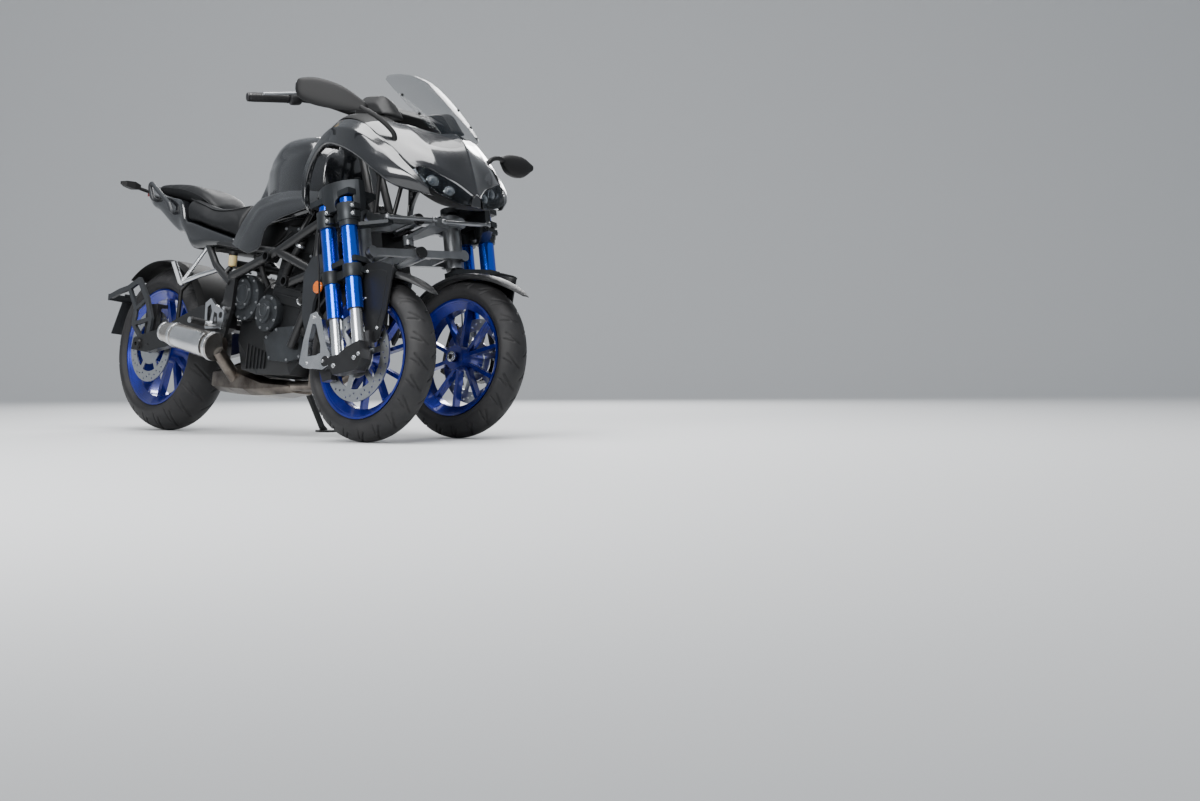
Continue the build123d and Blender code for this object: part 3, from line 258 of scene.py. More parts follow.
tyre_rubber, tree, shader = finish_named("moulded_tyre_rubber", {
    "Roughness": 0.62, "Specular IOR Level": 0.35})
place_node = node(tree, "ShaderNodeTexCoord")
dust = node(tree, "ShaderNodeTexNoise", {"Scale": 9.0, "Detail": 6.0, "Roughness": 0.65},
            {"Vector": place_node.outputs["Object"]})
two_toned(tree, shader, dust.outputs["Fac"], 0.35, linear("#18181a"), 0.8, linear("#2c2b2b"))
pores = noise(tree, place_node, 700.0, 2.0)
bumped(tree, shader, pores.outputs["Fac"], 0.25, 0.0006)
GROOVE_DEPTH, RIM_FLANGE, WALL_BULGE, WALL_RING = 0.0045, 0.0132, 0.0045, 0.0007   # metres
STEPS_PER_PITCH = 28
for name, joint_name, body, radius, crown, bead, half_rim, pitches, steps in TYRES:
    edge = math.radians(70)
    outline = []
    for k in range(steps + 1):
        tilt = -edge + 2 * edge * k / steps
        out_y, out_r = math.sin(tilt), math.cos(tilt)
        outline.append((crown * out_y, radius - crown + crown * out_r, tilt / edge, out_y, out_r))
    y1, r1 = crown * math.sin(edge), radius - crown + crown * math.cos(edge)
    wall = []
    flange = bead + RIM_FLANGE
    for k in range(1, 10):
        t = k / 9
        bulge = WALL_BULGE * math.sin(math.pi * t)
        ring = WALL_RING if k in (3, 6) else 0.0
        outward = (half_rim - 0.005 - y1) * t ** 1.6
        wall.append((y1 + outward + bulge - ring, r1 + (flange - r1) * t, 2.0, 1.0, 0.0))
    outline = [(-y, r, -v, -a, b) for y, r, v, a, b in reversed(wall)] + outline + wall
    turns = pitches * STEPS_PER_PITCH
    points, faces = [], []
    for i in range(turns):
        angle = 2 * math.pi * i / turns
        along = (i * pitches / turns) % 1.0
        c, s = math.cos(angle), math.sin(angle)
        for y, r, v, out_y, out_r in outline:
            cut = GROOVE_DEPTH * groove_cut(along, v) if abs(v) <= 1 else 0.0
            points.append(((r - cut * out_r) * c, y - cut * out_y, (r - cut * out_r) * s))
    wide = len(outline)
    for i in range(turns):
        for k in range(wide - 1):
            a, b = i * wide + k, ((i + 1) % turns) * wide + k
            faces.append((a, a + 1, b + 1, b))
    tyre = mesh_piece(name + "_tread", points, faces, axle_place(joint_name))
    put(tyre, tyre_rubber)
    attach(tyre, body)
    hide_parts(name)


# The three cast wheels: gravity-cast aluminium with five forked spokes, painted
# deep metallic blue and lacquered, with fine flakes in the paint.
def flaked_paint(name, dark, light, metallic, roughness, flake_mm, coat):
    """Metallic paint under clear lacquer, with flakes of a real size."""
    made, tree, shader = finish_named(name, {
        "Metallic": metallic, "Roughness": roughness, "Coat Weight": coat, "Coat Roughness": 0.06})
    spot = node(tree, "ShaderNodeTexCoord")
    flakes = node(tree, "ShaderNodeTexVoronoi", {"Scale": 1000.0 / flake_mm},
                  {"Vector": spot.outputs["Object"]})
    cloud = noise(tree, spot, 7.0, 3.0)
    both = node(tree, "ShaderNodeMath", {"operation": "MULTIPLY"},
                {0: flakes.outputs["Distance"], 1: cloud.outputs["Fac"]})
    two_toned(tree, shader, both.outputs["Value"], 0.05, linear(dark), 0.55, linear(light))
    bumped(tree, shader, cloud.outputs["Fac"], 0.03, 0.001)
    return made


wheel_blue = flaked_paint("lacquered_blue_wheel_paint", "#040e4a", "#1029b4", 0.75, 0.30, 0.9, 1.0)
for name in ("front_rim_right", "front_rim_left", "rear_rim"):
    put(nodes[name], wheel_blue)


# The brake discs and the rear sprocket: stainless and carbon steel, ground flat,
# so fine rings run round them.
def ground_steel(name, middle, axle, base, ring_mm, roughness):
    """Ground steel whose fine scratches run round one axle."""
    made, tree, shader = finish_named(name, {"Metallic": 1.0, "Roughness": roughness})
    spot = node(tree, "ShaderNodeTexCoord")
    shifted = node(tree, "ShaderNodeVectorMath", {"operation": "SUBTRACT", 1: middle},
                   {0: spot.outputs["Object"]})
    out = node(tree, "ShaderNodeVectorMath", {"operation": "CROSS_PRODUCT", 1: axle},
               {0: shifted.outputs["Vector"]})
    far = node(tree, "ShaderNodeVectorMath", {"operation": "LENGTH"}, {0: out.outputs["Vector"]})
    rings = node(tree, "ShaderNodeMath", {"operation": "MULTIPLY", 1: 1000.0 / ring_mm},
                 {0: far.outputs["Value"]})
    scratch = node(tree, "ShaderNodeTexNoise", {"noise_dimensions": "1D", "Scale": 1.0, "Detail": 4.0},
                   {"W": rings.outputs["Value"]})
    two_toned(tree, shader, scratch.outputs["Fac"], 0.3, dimmed(base, 0.72), 0.7, linear(base))
    bumped(tree, shader, scratch.outputs["Fac"], 0.2, 0.0002)
    return made


for name, joint_name in (("front_disc_right", "wheel_right_spin"), ("front_disc_left", "wheel_left_spin"),
                         ("rear_disc", "rear_wheel_spin"), ("rear_sprocket", "rear_wheel_spin")):
    joint = joint_table[joint_name]
    steel = ground_steel(name + "_ground_steel", joint["pos_m"], joint["axis"], "#c4c6c8", 1.4, 0.28)
    put(nodes[name], steel)


# The fork tubes: aluminium, honed and anodised a deep clear blue, which keeps
# the metal's gloss under a film of colour.
tube_blue, tree, shader = finish_named("blue_anodised_aluminium", {
    "Base Color": linear("#1450d2"), "Metallic": 0.95, "Roughness": 0.2, "Coat Weight": 0.35,
    "Coat Roughness": 0.08})
spot = node(tree, "ShaderNodeTexCoord")
draw = node(tree, "ShaderNodeMapping", {"Scale": (300.0, 300.0, 6.0)}, {"Vector": spot.outputs["Object"]})
honed = node(tree, "ShaderNodeTexNoise", {"Scale": 1.0, "Detail": 3.0}, {"Vector": draw.outputs["Vector"]})
bumped(tree, shader, honed.outputs["Fac"], 0.06, 0.0004)
for side in ("right", "left"):
    put(nodes["fork_tubes_" + side], tube_blue)


# Cast and machined aluminium parts: each alloy piece is bead-blasted or
# painted, so it shows a fine even grain and softly lit edges.
def blasted_alloy(name, dark, light, metallic, roughness, grit_mm):
    """Bead-blasted or silver-painted alloy with a fine even grain."""
    made, tree, shader = finish_named(name, {"Metallic": metallic, "Roughness": roughness})
    spot = node(tree, "ShaderNodeTexCoord")
    grit = noise(tree, spot, 1000.0 / grit_mm, 2.0)
    cloud = noise(tree, spot, 14.0, 4.0)
    two_toned(tree, shader, cloud.outputs["Fac"], 0.3, linear(dark), 0.7, linear(light))
    bumped(tree, shader, grit.outputs["Fac"], 0.15, 0.0004)
    return made


yoke_grey = blasted_alloy("grey_painted_cast_yoke", "#1e2022", "#2c2f32", 0.6, 0.42, 1.2)
leg_silver = blasted_alloy("satin_silver_fork_leg", "#b4b6b8", "#c8cacc", 0.95, 0.26, 0.8)
axle_black = blasted_alloy("black_painted_axle_casting", "#131314", "#202022", 0.3, 0.45, 1.4)
arm_grey = blasted_alloy("raw_forged_alloy_arm", "#75777a", "#8c8e90", 0.9, 0.38, 1.2)
rest_silver = blasted_alloy("polished_die_cast_footrest", "#b9bbbd", "#d2d3d5", 1.0, 0.24, 0.9)
for side in ("right", "left"):
    put(nodes["fork_yokes_" + side], yoke_grey)
    put(nodes["fork_legs_" + side], leg_silver)
    put(nodes["axle_carrier_" + side], axle_black)
    put(nodes["tie_rod_" + side], arm_grey)
for name in ("upper_lean_arm", "lower_lean_arm", "knuckles", "steering_bellcrank"):
    put(nodes[name], arm_grey)
put(nodes["footrests"], rest_silver)
put(nodes["rear_caliper"], axle_black)


# The frame, swinging arm and stand: welded steel tube and plate, powder-coated
# satin black, with the faint orange-peel of baked powder.
def powder_coat(name, base, roughness):
    """Baked powder coat over steel: even colour, faint orange peel."""
    made, tree, shader = finish_named(name, {"Roughness": roughness})
    spot = node(tree, "ShaderNodeTexCoord")
    peel = noise(tree, spot, 420.0, 1.5)
    cloud = noise(tree, spot, 9.0, 4.0)
    two_toned(tree, shader, cloud.outputs["Fac"], 0.25, dimmed(base, 0.7), 0.75, linear(base))
    bumped(tree, shader, peel.outputs["Fac"], 0.12, 0.0006)
    return made


frame_black = powder_coat("satin_black_powder_coat", "#101011", 0.36)
for name in ("frame", "swingarm", "side_stand", "shock_absorber", "handlebar"):
    put(nodes[name], frame_black)
carrier_grey = powder_coat("grey_powder_coat", "#26282b", 0.45)
put(nodes["plate_carrier"], carrier_grey)
put(nodes["grab_rails"], carrier_grey)
put(nodes["swingarm_pivot"], leg_silver)


# The engine: die-cast cases sprayed black, with the round side covers in a
# dark graphite grey.
engine_black = blasted_alloy("black_sprayed_engine_casting", "#0f1011", "#1a1b1d", 0.35, 0.48, 1.6)
cover_grey = blasted_alloy("graphite_sprayed_engine_cover", "#26282a", "#36393c", 0.5, 0.42, 1.4)
put(nodes["engine"], engine_black)
put(nodes["engine_covers"], cover_grey)
put(nodes["radiator"], axle_black)

# The exhaust: stainless steel tube, blued and browned by heat near the engine,
# and a satin-brushed silencer.
header_steel, tree, shader = finish_named("heat_browned_stainless_steel", {
    "Metallic": 0.95, "Roughness": 0.28})
spot = node(tree, "ShaderNodeTexCoord")
stain = node(tree, "ShaderNodeTexNoise", {"Scale": 11.0, "Detail": 5.0, "Roughness": 0.6},
             {"Vector": spot.outputs["Object"]})
two_toned(tree, shader, stain.outputs["Fac"], 0.3, linear("#3b3330"), 0.72, linear("#8d857c"))
put(nodes["exhaust_pipes"], header_steel)
silencer_steel = blasted_alloy("satin_brushed_stainless_steel", "#a09c97", "#bdb9b4", 1.0, 0.27, 0.7)
put(nodes["silencer"], silencer_steel)

# The drive chain: oiled side plates on rollers.
chain_steel = blasted_alloy("oiled_chain_steel", "#3a3630", "#6a645a", 0.9, 0.4, 1.0)
put(nodes["drive_chain"], chain_steel)

# The unpainted mouldings: black polypropylene with a fine spark-eroded grain.
def grained_plastic(name, base, roughness, grain_mm, strength):
    """Moulded plastic with an even leather-like grain from the mould."""
    made, tree, shader = finish_named(name, {"Roughness": roughness, "Specular IOR Level": 0.3})
    spot = node(tree, "ShaderNodeTexCoord")
    grain = node(tree, "ShaderNodeTexVoronoi", {"Scale": 1000.0 / grain_mm},
                 {"Vector": spot.outputs["Object"]})
    cloud = noise(tree, spot, 6.0, 4.0)
    two_toned(tree, shader, cloud.outputs["Fac"], 0.3, dimmed(base, 0.75), 0.7, linear(base))
    bumped(tree, shader, grain.outputs["Distance"], strength, 0.0005)
    return made


black_plastic = grained_plastic("grained_black_polypropylene", "#0d0d0e", 0.58, 1.3, 0.2)
put(nodes["rear_mudguard"], black_plastic)
grey_plastic = grained_plastic("satin_grey_nylon", "#232528", 0.48, 1.2, 0.12)
put(nodes["radiator_shrouds"], grey_plastic)
guard_plastic = grained_plastic("satin_charcoal_nylon", "#121315", 0.5, 1.2, 0.1)

# The clear parts: hard-coated polycarbonate for the windscreen and the lamp
# covers, amber acrylic for the reflectors and red for the tail lamp.
clear_sheet, tree, shader = finish_named("hard_coated_polycarbonate", {
    "Base Color": linear("#1c2126"), "Roughness": 0.03, "IOR": 1.2})
edge_on = node(tree, "ShaderNodeLayerWeight", {"Blend": 0.25})
uneven(tree, shader, "Alpha", edge_on.outputs["Facing"], 0.1, 0.5)
amber_lens, tree, shader = finish_named("amber_acrylic", {
    "Base Color": linear("#e2701c"), "Roughness": 0.12, "Transmission Weight": 0.35})
put(nodes["rear_indicators"], black_plastic)
red_lens, tree, shader = finish_named("red_acrylic", {
    "Base Color": linear("#7c0f10"), "Roughness": 0.12, "Transmission Weight": 0.3})
put(nodes["tail_lamp"], red_lens)


# The painted bodywork: ABS mouldings sprayed dark graphite metallic and
# lacquered, with satin depth and sharp highlights along the creases. The body
# is drawn upright in millimetres and leans with the parked vehicle.
body_graphite = flaked_paint("lacquered_graphite_body_paint", "#0b0c0e", "#202226", 0.35, 0.22, 0.8, 0.9)
parked = Matrix.Translation((*DRAWN_TO_FRAME, 0.0)) @ Matrix.Scale(0.001, 4)
rear_crown, lean = 95.0, math.radians(7.0)
parked = parked @ Matrix.Translation((0, -rear_crown * math.sin(lean), rear_crown * (1 - math.cos(lean))))
parked = parked @ Matrix.Rotation(-lean, 4, "X")


def eased(points, parts):
    """A smooth line through the points, with this many steps between them."""
    through = [Vector(p) for p in points]
    ends = [through[0] * 2 - through[1]] + through + [through[-1] * 2 - through[-2]]
    out = []
    for i in range(len(through) - 1):
        a, b, c, d = ends[i:i + 4]
        for k in range(parts):
            t = k / parts
            out.append(0.5 * (b * 2 + (c - a) * t + (a * 2 - b * 5 + c * 4 - d) * t * t
                              + (b * 3 - a - c * 3 + d) * t ** 3))
    out.append(through[-1])
    return out


def swept(sections, parts):
    """Rows of points run smoothly through sections that all have as many points."""
    return [list(row) for row in zip(*[eased(list(column), parts) for column in zip(*sections)])]


def spaced(points, count, curved=True):
    """count spots at equal distances along a line through the points."""
    line = eased(points, 8) if curved and len(points) > 2 else [Vector(p) for p in points]
    lengths = [0.0]
    for a, b in zip(line, line[1:]):
        lengths.append(lengths[-1] + (b - a).length)
    out, at = [], 0
    for k in range(count):
        wanted = lengths[-1] * k / (count - 1)
        while at < len(line) - 2 and lengths[at + 1] < wanted:
            at += 1
        run = lengths[at + 1] - lengths[at]
        out.append(line[at].lerp(line[at + 1], 0 if run == 0 else (wanted - lengths[at]) / run))
    return out


def net_faces(rows, wide, ring=False, ends=False):
    """Quads between rows of points, round each row where it is a ring."""
    faces = []
    for r in range(rows - 1):
        for k in range(wide if ring else wide - 1):
            a, b = r * wide + k, r * wide + (k + 1) % wide
            faces.append((a, b, b + wide, a + wide))
    if ends:
        faces.append(tuple(range(wide - 1, -1, -1)))
        faces.append(tuple(range((rows - 1) * wide, rows * wide)))
    return faces


def faced_outward(made):
    """Turns the faces of a closed piece to look outward."""
    work = bmesh.new()
    work.from_mesh(made.data)
    bmesh.ops.recalc_face_normals(work, faces=work.faces)
    work.to_mesh(made.data)
    work.free()


def net_piece(name, rows, place, ring=False, ends=False):
    """A smooth-shaded piece from rows of points, faced outward when closed."""
    points = [p for row in rows for p in row]
    made = mesh_piece(name, points, net_faces(len(rows), len(rows[0]), ring, ends), place)
    if ring:
        faced_outward(made)
    return made


def bevelled(made, round_mm, segments, degrees):
    """Rounds every edge that is sharper than an angle."""
    edge = made.modifiers.new("edge", "BEVEL")
    edge.width = round_mm / 1000
    edge.segments = segments
    edge.limit_method = "ANGLE"
    edge.angle_limit = math.radians(degrees)


def moulded(made, thick_mm, round_mm, inward=True):
    """Gives a skin its wall thickness and rounds the edges of a moulding."""
    wall = made.modifiers.new("wall", "SOLIDIFY")
    wall.thickness = thick_mm / 1000
    wall.offset = -1.0 if inward else 1.0
    wall.use_even_offset = False
    bevelled(made, round_mm, 2, 50)
    return made


def faced(made, outward, share=1):
    """Turns a skin over where the faces of its first share look away from outward."""
    total = Vector((0.0, 0.0, 0.0))
    for face in made.data.polygons[:len(made.data.polygons) // share]:
        total += face.normal * face.area
    if total.dot(Vector(outward)) < 0:
        made.data.flip_normals()
    return made


FAIRING = [
    # x, then half outline from the crest to the lower edge as y, z pairs
    (1085, (0, 990), (100, 1004), (175, 988), (230, 900), (236, 790)),
    (1153, (0, 1020), (130, 1036), (212, 1012), (256, 930), (246, 745)),
    (1230, (0, 1046), (150, 1068), (238, 1046), (278, 940), (266, 742)),
    (1310, (0, 1066), (165, 1090), (248, 1068), (292, 950), (276, 742)),
    (1420, (0, 1078), (172, 1082), (252, 1044), (300, 930), (282, 745)),
    (1510, (0, 1070), (172, 1030), (240, 985), (292, 890), (268, 755)),
    (1590, (0, 1040), (140, 975), (205, 940), (256, 860), (226, 765)),
    (1650, (0, 1003), (90, 935), (150, 905), (205, 845), (178, 765)),
    (1697, (0, 925), (45, 880), (96, 850), (150, 816), (128, 762)),
    (1742, (0, 822), (12, 815), (24, 806), (36, 792), (26, 764)),
]
half = swept([eased([(row[0], -y, z) for y, z in row[1:]], 6) for row in FAIRING], 5)
form_points = [p for row in half for p in row]
form_faces = net_faces(len(half), len(half[0]))
fairing_form = BVHTree.FromPolygons(form_points, form_faces)


REACH = 400   # how far off a form its panels start to look for it, in millimetres


def laid(form, bottom, right, top, left, wide, tall, toward, shape=None):
    """Rows of points of a panel between four edges, laid on a form."""
    low, high = spaced(bottom, wide), spaced(top, wide)
    near, far = spaced(left, tall), spaced(right, tall)
    aim = Vector(toward).normalized()
    rows = []
    for j in range(tall):
        v = j / (tall - 1)
        row = []
        for i in range(wide):
            u = i / (wide - 1)
            spot = low[i] * (1 - v) + high[i] * v + near[j] * (1 - u) + far[j] * u
            spot -= (low[0] * (1 - u) * (1 - v) + low[-1] * u * (1 - v)
                     + high[0] * (1 - u) * v + high[-1] * u * v)
            found = form.ray_cast(spot - aim * REACH, aim) if form else (None, None)
            if found[0] is None:
                found = form.find_nearest(spot) if form else (spot, aim)
            here, out = found[0], found[1]
            if out.dot(aim) > 0:
                out = -out
            if shape:
                here = here + out * shape(u, v)
            row.append(here)
        rows.append(row)
    return rows


def both_sides(name, rows, place, outward):
    """The right-hand skin and its mirrored twin, one piece."""
    points, faces = [], []
    for side in (1, -1):
        start = len(points)
        turned = [[Vector((p.x, p.y * side, p.z)) for p in row] for row in rows]
        points += [p for row in turned for p in row]
        made = net_faces(len(rows), len(rows[0]))
        faces += [tuple(start + i for i in (face if side > 0 else face[::-1])) for face in made]
    return faced(mesh_piece(name, points, faces, place), outward, share=2)


# Side panels of the fairing, each one moulding that sweeps over its wheel from
# the pointed rear tip to the lamp, with a rolled arch edge and one long crease.
ARCH_EDGE = [(1166, -246, 748), (1124, -250, 784), (1116, -252, 861), (1158, -262, 940), (1244, -274, 976),
             (1356, -294, 957), (1470, -290, 910), (1545, -272, 856), (1600, -245, 816), (1690, -160, 796)]
PANEL_TOP = [(1090, -232, 800), (1087, -226, 860), (1094, -225, 925), (1128, -214, 990), (1190, -222, 1026),
             (1270, -240, 1054), (1350, -250, 1056), (1430, -254, 1036), (1500, -246, 988),
             (1560, -226, 948),
             (1612, -212, 900), (1652, -190, 862), (1688, -152, 818)]
REAR_TIP = [(1166, -246, 748), (1128, -244, 772), (1090, -232, 800)]
NOSE_TIP = [(1690, -160, 796), (1689, -156, 807), (1688, -152, 818)]


def panel_crease(u, v):
    """How far the panel's surface stands off the plain form, in millimetres."""
    ridge = 0.52 + 0.25 * u
    rise = 7.0 * min(1.0, v / ridge) ** 1.6 if v < ridge else 7.0 * (1 - (v - ridge) / (1 - ridge)) ** 1.5
    roll = -6.0 * (1 - v / 0.08) ** 2 if v < 0.08 else 0.0
    return (rise + roll) * min(1.0, u / 0.06, (1 - u) / 0.06 + 0.2)


rows = laid(fairing_form, ARCH_EDGE, NOSE_TIP, PANEL_TOP, REAR_TIP, 72, 26, (0, 1, 0), panel_crease)
inside = [Vector((p.x, p.y + 14, p.z - 3)) for p in rows[0]]
side_skins = both_sides("side_fairing_skins", [inside] + rows, parked, (0, -1, 0.2))
moulded(side_skins, 3.0, 1.0)
put(side_skins, body_graphite)
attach(side_skins, "chassis")
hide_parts("side_fairings")

# The shelf inside each side panel, from its upper edge in to the cockpit.
SHELF_IN = [(1092, -98, 1002), (1153, -130, 1034), (1230, -158, 1066), (1330, -186, 1088),
            (1420, -172, 1080), (1500, -150, 1040)]
SHELF_OUT = [(1094, -222, 915), (1128, -212, 990), (1190, -220, 1024), (1270, -238, 1052),
             (1350, -248, 1054), (1430, -252, 1034), (1505, -242, 984)]
SHELF_FRONT = [(1505, -242, 984), (1503, -200, 1016), (1500, -150, 1040)]
SHELF_BACK = [(1094, -222, 915), (1092, -170, 985), (1092, -98, 1002)]
rows = laid(fairing_form, SHELF_OUT, SHELF_FRONT, SHELF_IN, SHELF_BACK, 40, 10, (0, 0.5, -1),
            lambda u, v: -1.5)
shelves = both_sides("fairing_inner_shelves", rows, parked, (0, -0.3, 1))
moulded(shelves, 3.0, 0.8)
put(shelves, black_plastic)
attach(shelves, "chassis")

# The nose: one moulding from the screen's foot to the tip, with two creases
# that run from the screen's corners down to the point between the lamps.
NOSE_LOW = [(1742, -2, 813), (1738, -12, 810), (1722, -40, 834), (1706, -66, 851), (1688, -108, 868),
            (1660, -160, 892), (1650, -190, 890)]
NOSE_OUT = [(1650, -190, 890), (1640, -200, 886), (1612, -212, 902), (1560, -226, 949), (1500, -246, 990),
            (1430, -252, 1038)]
NOSE_IN = [(1742, 0, 813), (1738, 0, 830), (1697, 0, 925), (1650, 0, 1003), (1600, 0, 1036)]
COCKPIT = [(1600, 0, 1036), (1585, -40, 1032), (1545, -95, 1038), (1500, -150, 1041), (1465, -200, 1046),
           (1430, -252, 1038)]


def nose_crease(u, v):
    """A sharp fold that starts at the nose's point and opens upward."""
    fold = 0.55
    return 8.0 * (1 - abs(u - fold) / (fold if u < fold else 1 - fold)) ** 1.5 * min(1.0, v / 0.15)


rows = laid(fairing_form, NOSE_LOW, NOSE_OUT, COCKPIT, NOSE_IN, 44, 40, (-0.75, 0.25, -0.62), nose_crease)
nose_skin = both_sides("nose_skin", rows, parked, (1, -0.2, 0.6))
moulded(nose_skin, 3.0, 1.0)
put(nose_skin, body_graphite)
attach(nose_skin, "chassis")
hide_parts("nose_fairing")

# The fuel tank: a deep-drawn steel shell under the same paint, wide at the
# shoulders and drawn in for the rider's knees, with a screwed-down filler.
TANK = [
    # x, half width top, half width mid, half width low, z top, z shoulder, z mid, z low
    (572, 34, 66, 60, 878, 856, 808, 735),
    (640, 50, 84, 92, 962, 924, 854, 742),
    (716, 72, 118, 118, 1034, 988, 890, 750),
    (820, 84, 148, 130, 1068, 1024, 905, 760),
    (960, 86, 156, 132, 1062, 1010, 900, 775),
    (1060, 62, 118, 100, 1026, 976, 885, 800),
]


def mirrored(line):
    """The same line on the other side, run backwards."""
    return [Vector((p.x, -p.y, p.z)) for p in reversed(line)]


sections = []
for x, wt, wm, wl, zt, zs, zm, zl in TANK:
    right = eased([(x, 0, zt + 3), (x, -wt, zt), (x, -wm * 0.93, zs), (x, -wm, zm), (x, -wl, zl)], 7)
    sections.append(right + mirrored(right[1:]))
rows = swept(sections, 7)
for row in rows:
    for p in row:
        knee = math.exp(-((p.x - 690) / 95) ** 2 - ((p.z - 850) / 75) ** 2)
        fold = math.exp(-((p.z - 985 - (p.x - 800) * 0.18) / 16) ** 2) * min(1.0, max(0.0, (p.x - 640) / 80))
        p.y -= math.copysign(13.0 * knee - 5.0 * fold, p.y) if abs(p.y) > 20 else 0.0
tank = net_piece("fuel_tank_shell", rows, parked, ring=True, ends=True)
put(tank, body_graphite)
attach(tank, "chassis")
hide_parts("fuel_tank")


def crosswise(up):
    """Two directions square to one another and to a third."""
    side = up.orthogonal().normalized()
    return side, up.cross(side)


def lathed(name, profile, middle, axis, place, turns=40):
    """A turned piece: radius and height pairs revolved about an axis."""
    up = Vector(axis).normalized()
    side, other = crosswise(up)
    rows = []
    for r, h in profile:
        rows.append([Vector(middle) + up * h + (side * math.cos(a) + other * math.sin(a)) * r
                     for a in (2 * math.pi * k / turns for k in range(turns))])
    made = net_piece(name, rows, place, ring=True, ends=True)
    bevelled(made, 0.6, 2, 40)
    return made


profile = [(56, -4), (56, 3), (52, 5), (44, 5), (43, 8), (40, 11), (20, 13), (6, 13)]
filler = lathed("fuel_filler_cap", profile, (856, 0, 1066), (0.05, 0, 1), parked)
put(filler, leg_silver)
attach(filler, "chassis")


def bolt_set(name, spots, place):
    """Socket-head bolts in one piece, each with its washer face and hexagon."""
    points, faces = [], []
    for spot, out, head in spots:
        up = Vector(out).normalized()
        side, other = crosswise(up)
        rings = [(1.35, -0.2), (1.35, 0.22), (1.02, 0.3), (1.0, 0.95), (0.86, 1.1), (0.6, 1.1), (0.58, 0.5)]
        start = len(points)
        for n, (r, h) in enumerate(rings):
            for k in range(12):
                a = 2 * math.pi * k / 12
                reach = r if n < 5 else r * (1.0 if k % 2 == 0 else 0.866)
                aside = side * math.cos(a) + other * math.sin(a)
                points.append(Vector(spot) + up * h * head + aside * reach * head)
        faces += [tuple(start + i for i in face) for face in net_faces(len(rings), 12, ring=True)]
        faces.append(tuple(start + (len(rings) - 1) * 12 + k for k in range(12)))
    return mesh_piece(name, points, faces, place, smooth=False)


filler_bolts = []
for k in range(6):
    a = math.pi * k / 3 + 0.4
    filler_bolts.append(((856 + 49 * math.cos(a), 49 * math.sin(a), 1069), (0.05, 0, 1), 3.0))
filler_bolts = bolt_set("fuel_filler_bolts", filler_bolts, parked)
put(filler_bolts, leg_silver)
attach(filler_bolts, "chassis")


def softened(cad_name, round_mm, angle=28):
    """Rounds the sharp edges of a CAD node a little, as cast or moulded."""
    weld = nodes[cad_name].modifiers.new("weld", "WELD")
    weld.merge_threshold = 0.00002
    bevelled(nodes[cad_name], round_mm, 2, angle)


for cad_name, round_mm in (("engine_covers", 3.0), ("engine", 3.0), ("swingarm", 3.0),
                           ("plate_carrier", 1.2), ("upper_lean_arm", 2.0), ("lower_lean_arm", 2.0),
                           ("radiator_shrouds", 3.0), ("rear_caliper", 2.0)):
    softened(cad_name, round_mm)
for side in ("right", "left"):
    softened("axle_carrier_" + side, 2.5)
    softened("fork_yokes_" + side, 2.0)

# The side covers: thin painted mouldings that close the gap between the tank
# and the frame, with one crease along their length.
COVER_LOW = [(727, -190, 637), (794, -190, 655), (822, -190, 722), (885, -188, 752), (970, -186, 770),
             (1063, -182, 788)]
COVER_FRONT = [(1063, -182, 788), (1090, -174, 802), (1080, -152, 848)]
COVER_TOP = [(587, -170, 684), (640, -172, 754), (703, -158, 830), (775, -152, 854), (892, -150, 865),
             (980, -150, 860), (1080, -152, 848)]
COVER_BACK = [(727, -190, 637), (656, -186, 660), (587, -170, 684)]


def cover_crease(u, v):
    swell = 9.0 * math.sin(math.pi * v) ** 0.8 * math.sin(math.pi * min(0.98, u + 0.02)) ** 0.5
    return swell + 3.5 * math.exp(-((v - 0.62) / 0.07) ** 2) * math.sin(math.pi * u)


rows = laid(None, COVER_LOW, COVER_FRONT, COVER_TOP, COVER_BACK, 44, 18, (0, 1, 0), cover_crease)
covers = both_sides("side_cover_skins", rows, parked, (0, -1, 0))
moulded(covers, 3.0, 1.0)
put(covers, body_graphite)
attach(covers, "chassis")
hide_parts("side_covers")

# The tail: one painted moulding below the seats, slim at the back and deep
# where it meets the side covers, with a folded lower edge.
TAIL = [
    # x, half width, z top, z low, z middle
    (-232, 44, 978, 934, 956),
    (-134, 84, 934, 884, 912),
    (-60, 98, 918, 858, 888),
    (60, 118, 898, 798, 850),
    (150, 132, 874, 758, 815),
    (212, 146, 800, 744, 775),
    (275, 148, 782, 688, 748),
    (400, 146, 748, 682, 716),
    (556, 134, 708, 680, 694),
]
sections = []
for x, w, zt, zl, zm in TAIL:
    right = eased([(x, -w * 0.80, zt + 2), (x, -w * 0.96, zt - 2), (x, -w, zm), (x, -w * 0.92, zl + 8),
                   (x, -w * 0.80, zl)], 4)
    sections.append(right + mirrored(right))
rows = swept(sections, 5)
tail = net_piece("tail_cover_skin", rows, parked, ring=True, ends=True)
put(tail, body_graphite)
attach(tail, "chassis")
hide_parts("tail_cover")

# The seats: moulded foam under a grained, slightly grippy vinyl cover, pulled
# down at the edges and sewn along both sides of each pad.
seat_vinyl = grained_plastic("grained_seat_vinyl", "#111214", 0.56, 2.2, 0.3)
RIDER = [
    # x, crest half width, crest z, widest half width, widest z, low half width, low z, middle z
    (214, 118, 886, 142, 858, 142, 806, 862),
    (290, 112, 860, 146, 822, 142, 786, 848),
    (373, 106, 834, 146, 792, 140, 762, 834),
    (460, 96, 830, 140, 778, 136, 740, 829),
    (552, 78, 842, 120, 780, 126, 714, 838),
]
PASSENGER = [
    # x, half width, z top, z low
    (-130, 62, 972, 938),
    (0, 92, 962, 912),
    (130, 104, 946, 884),
    (236, 104, 912, 862),
    (296, 92, 872, 846),
    (318, 76, 846, 836),
]


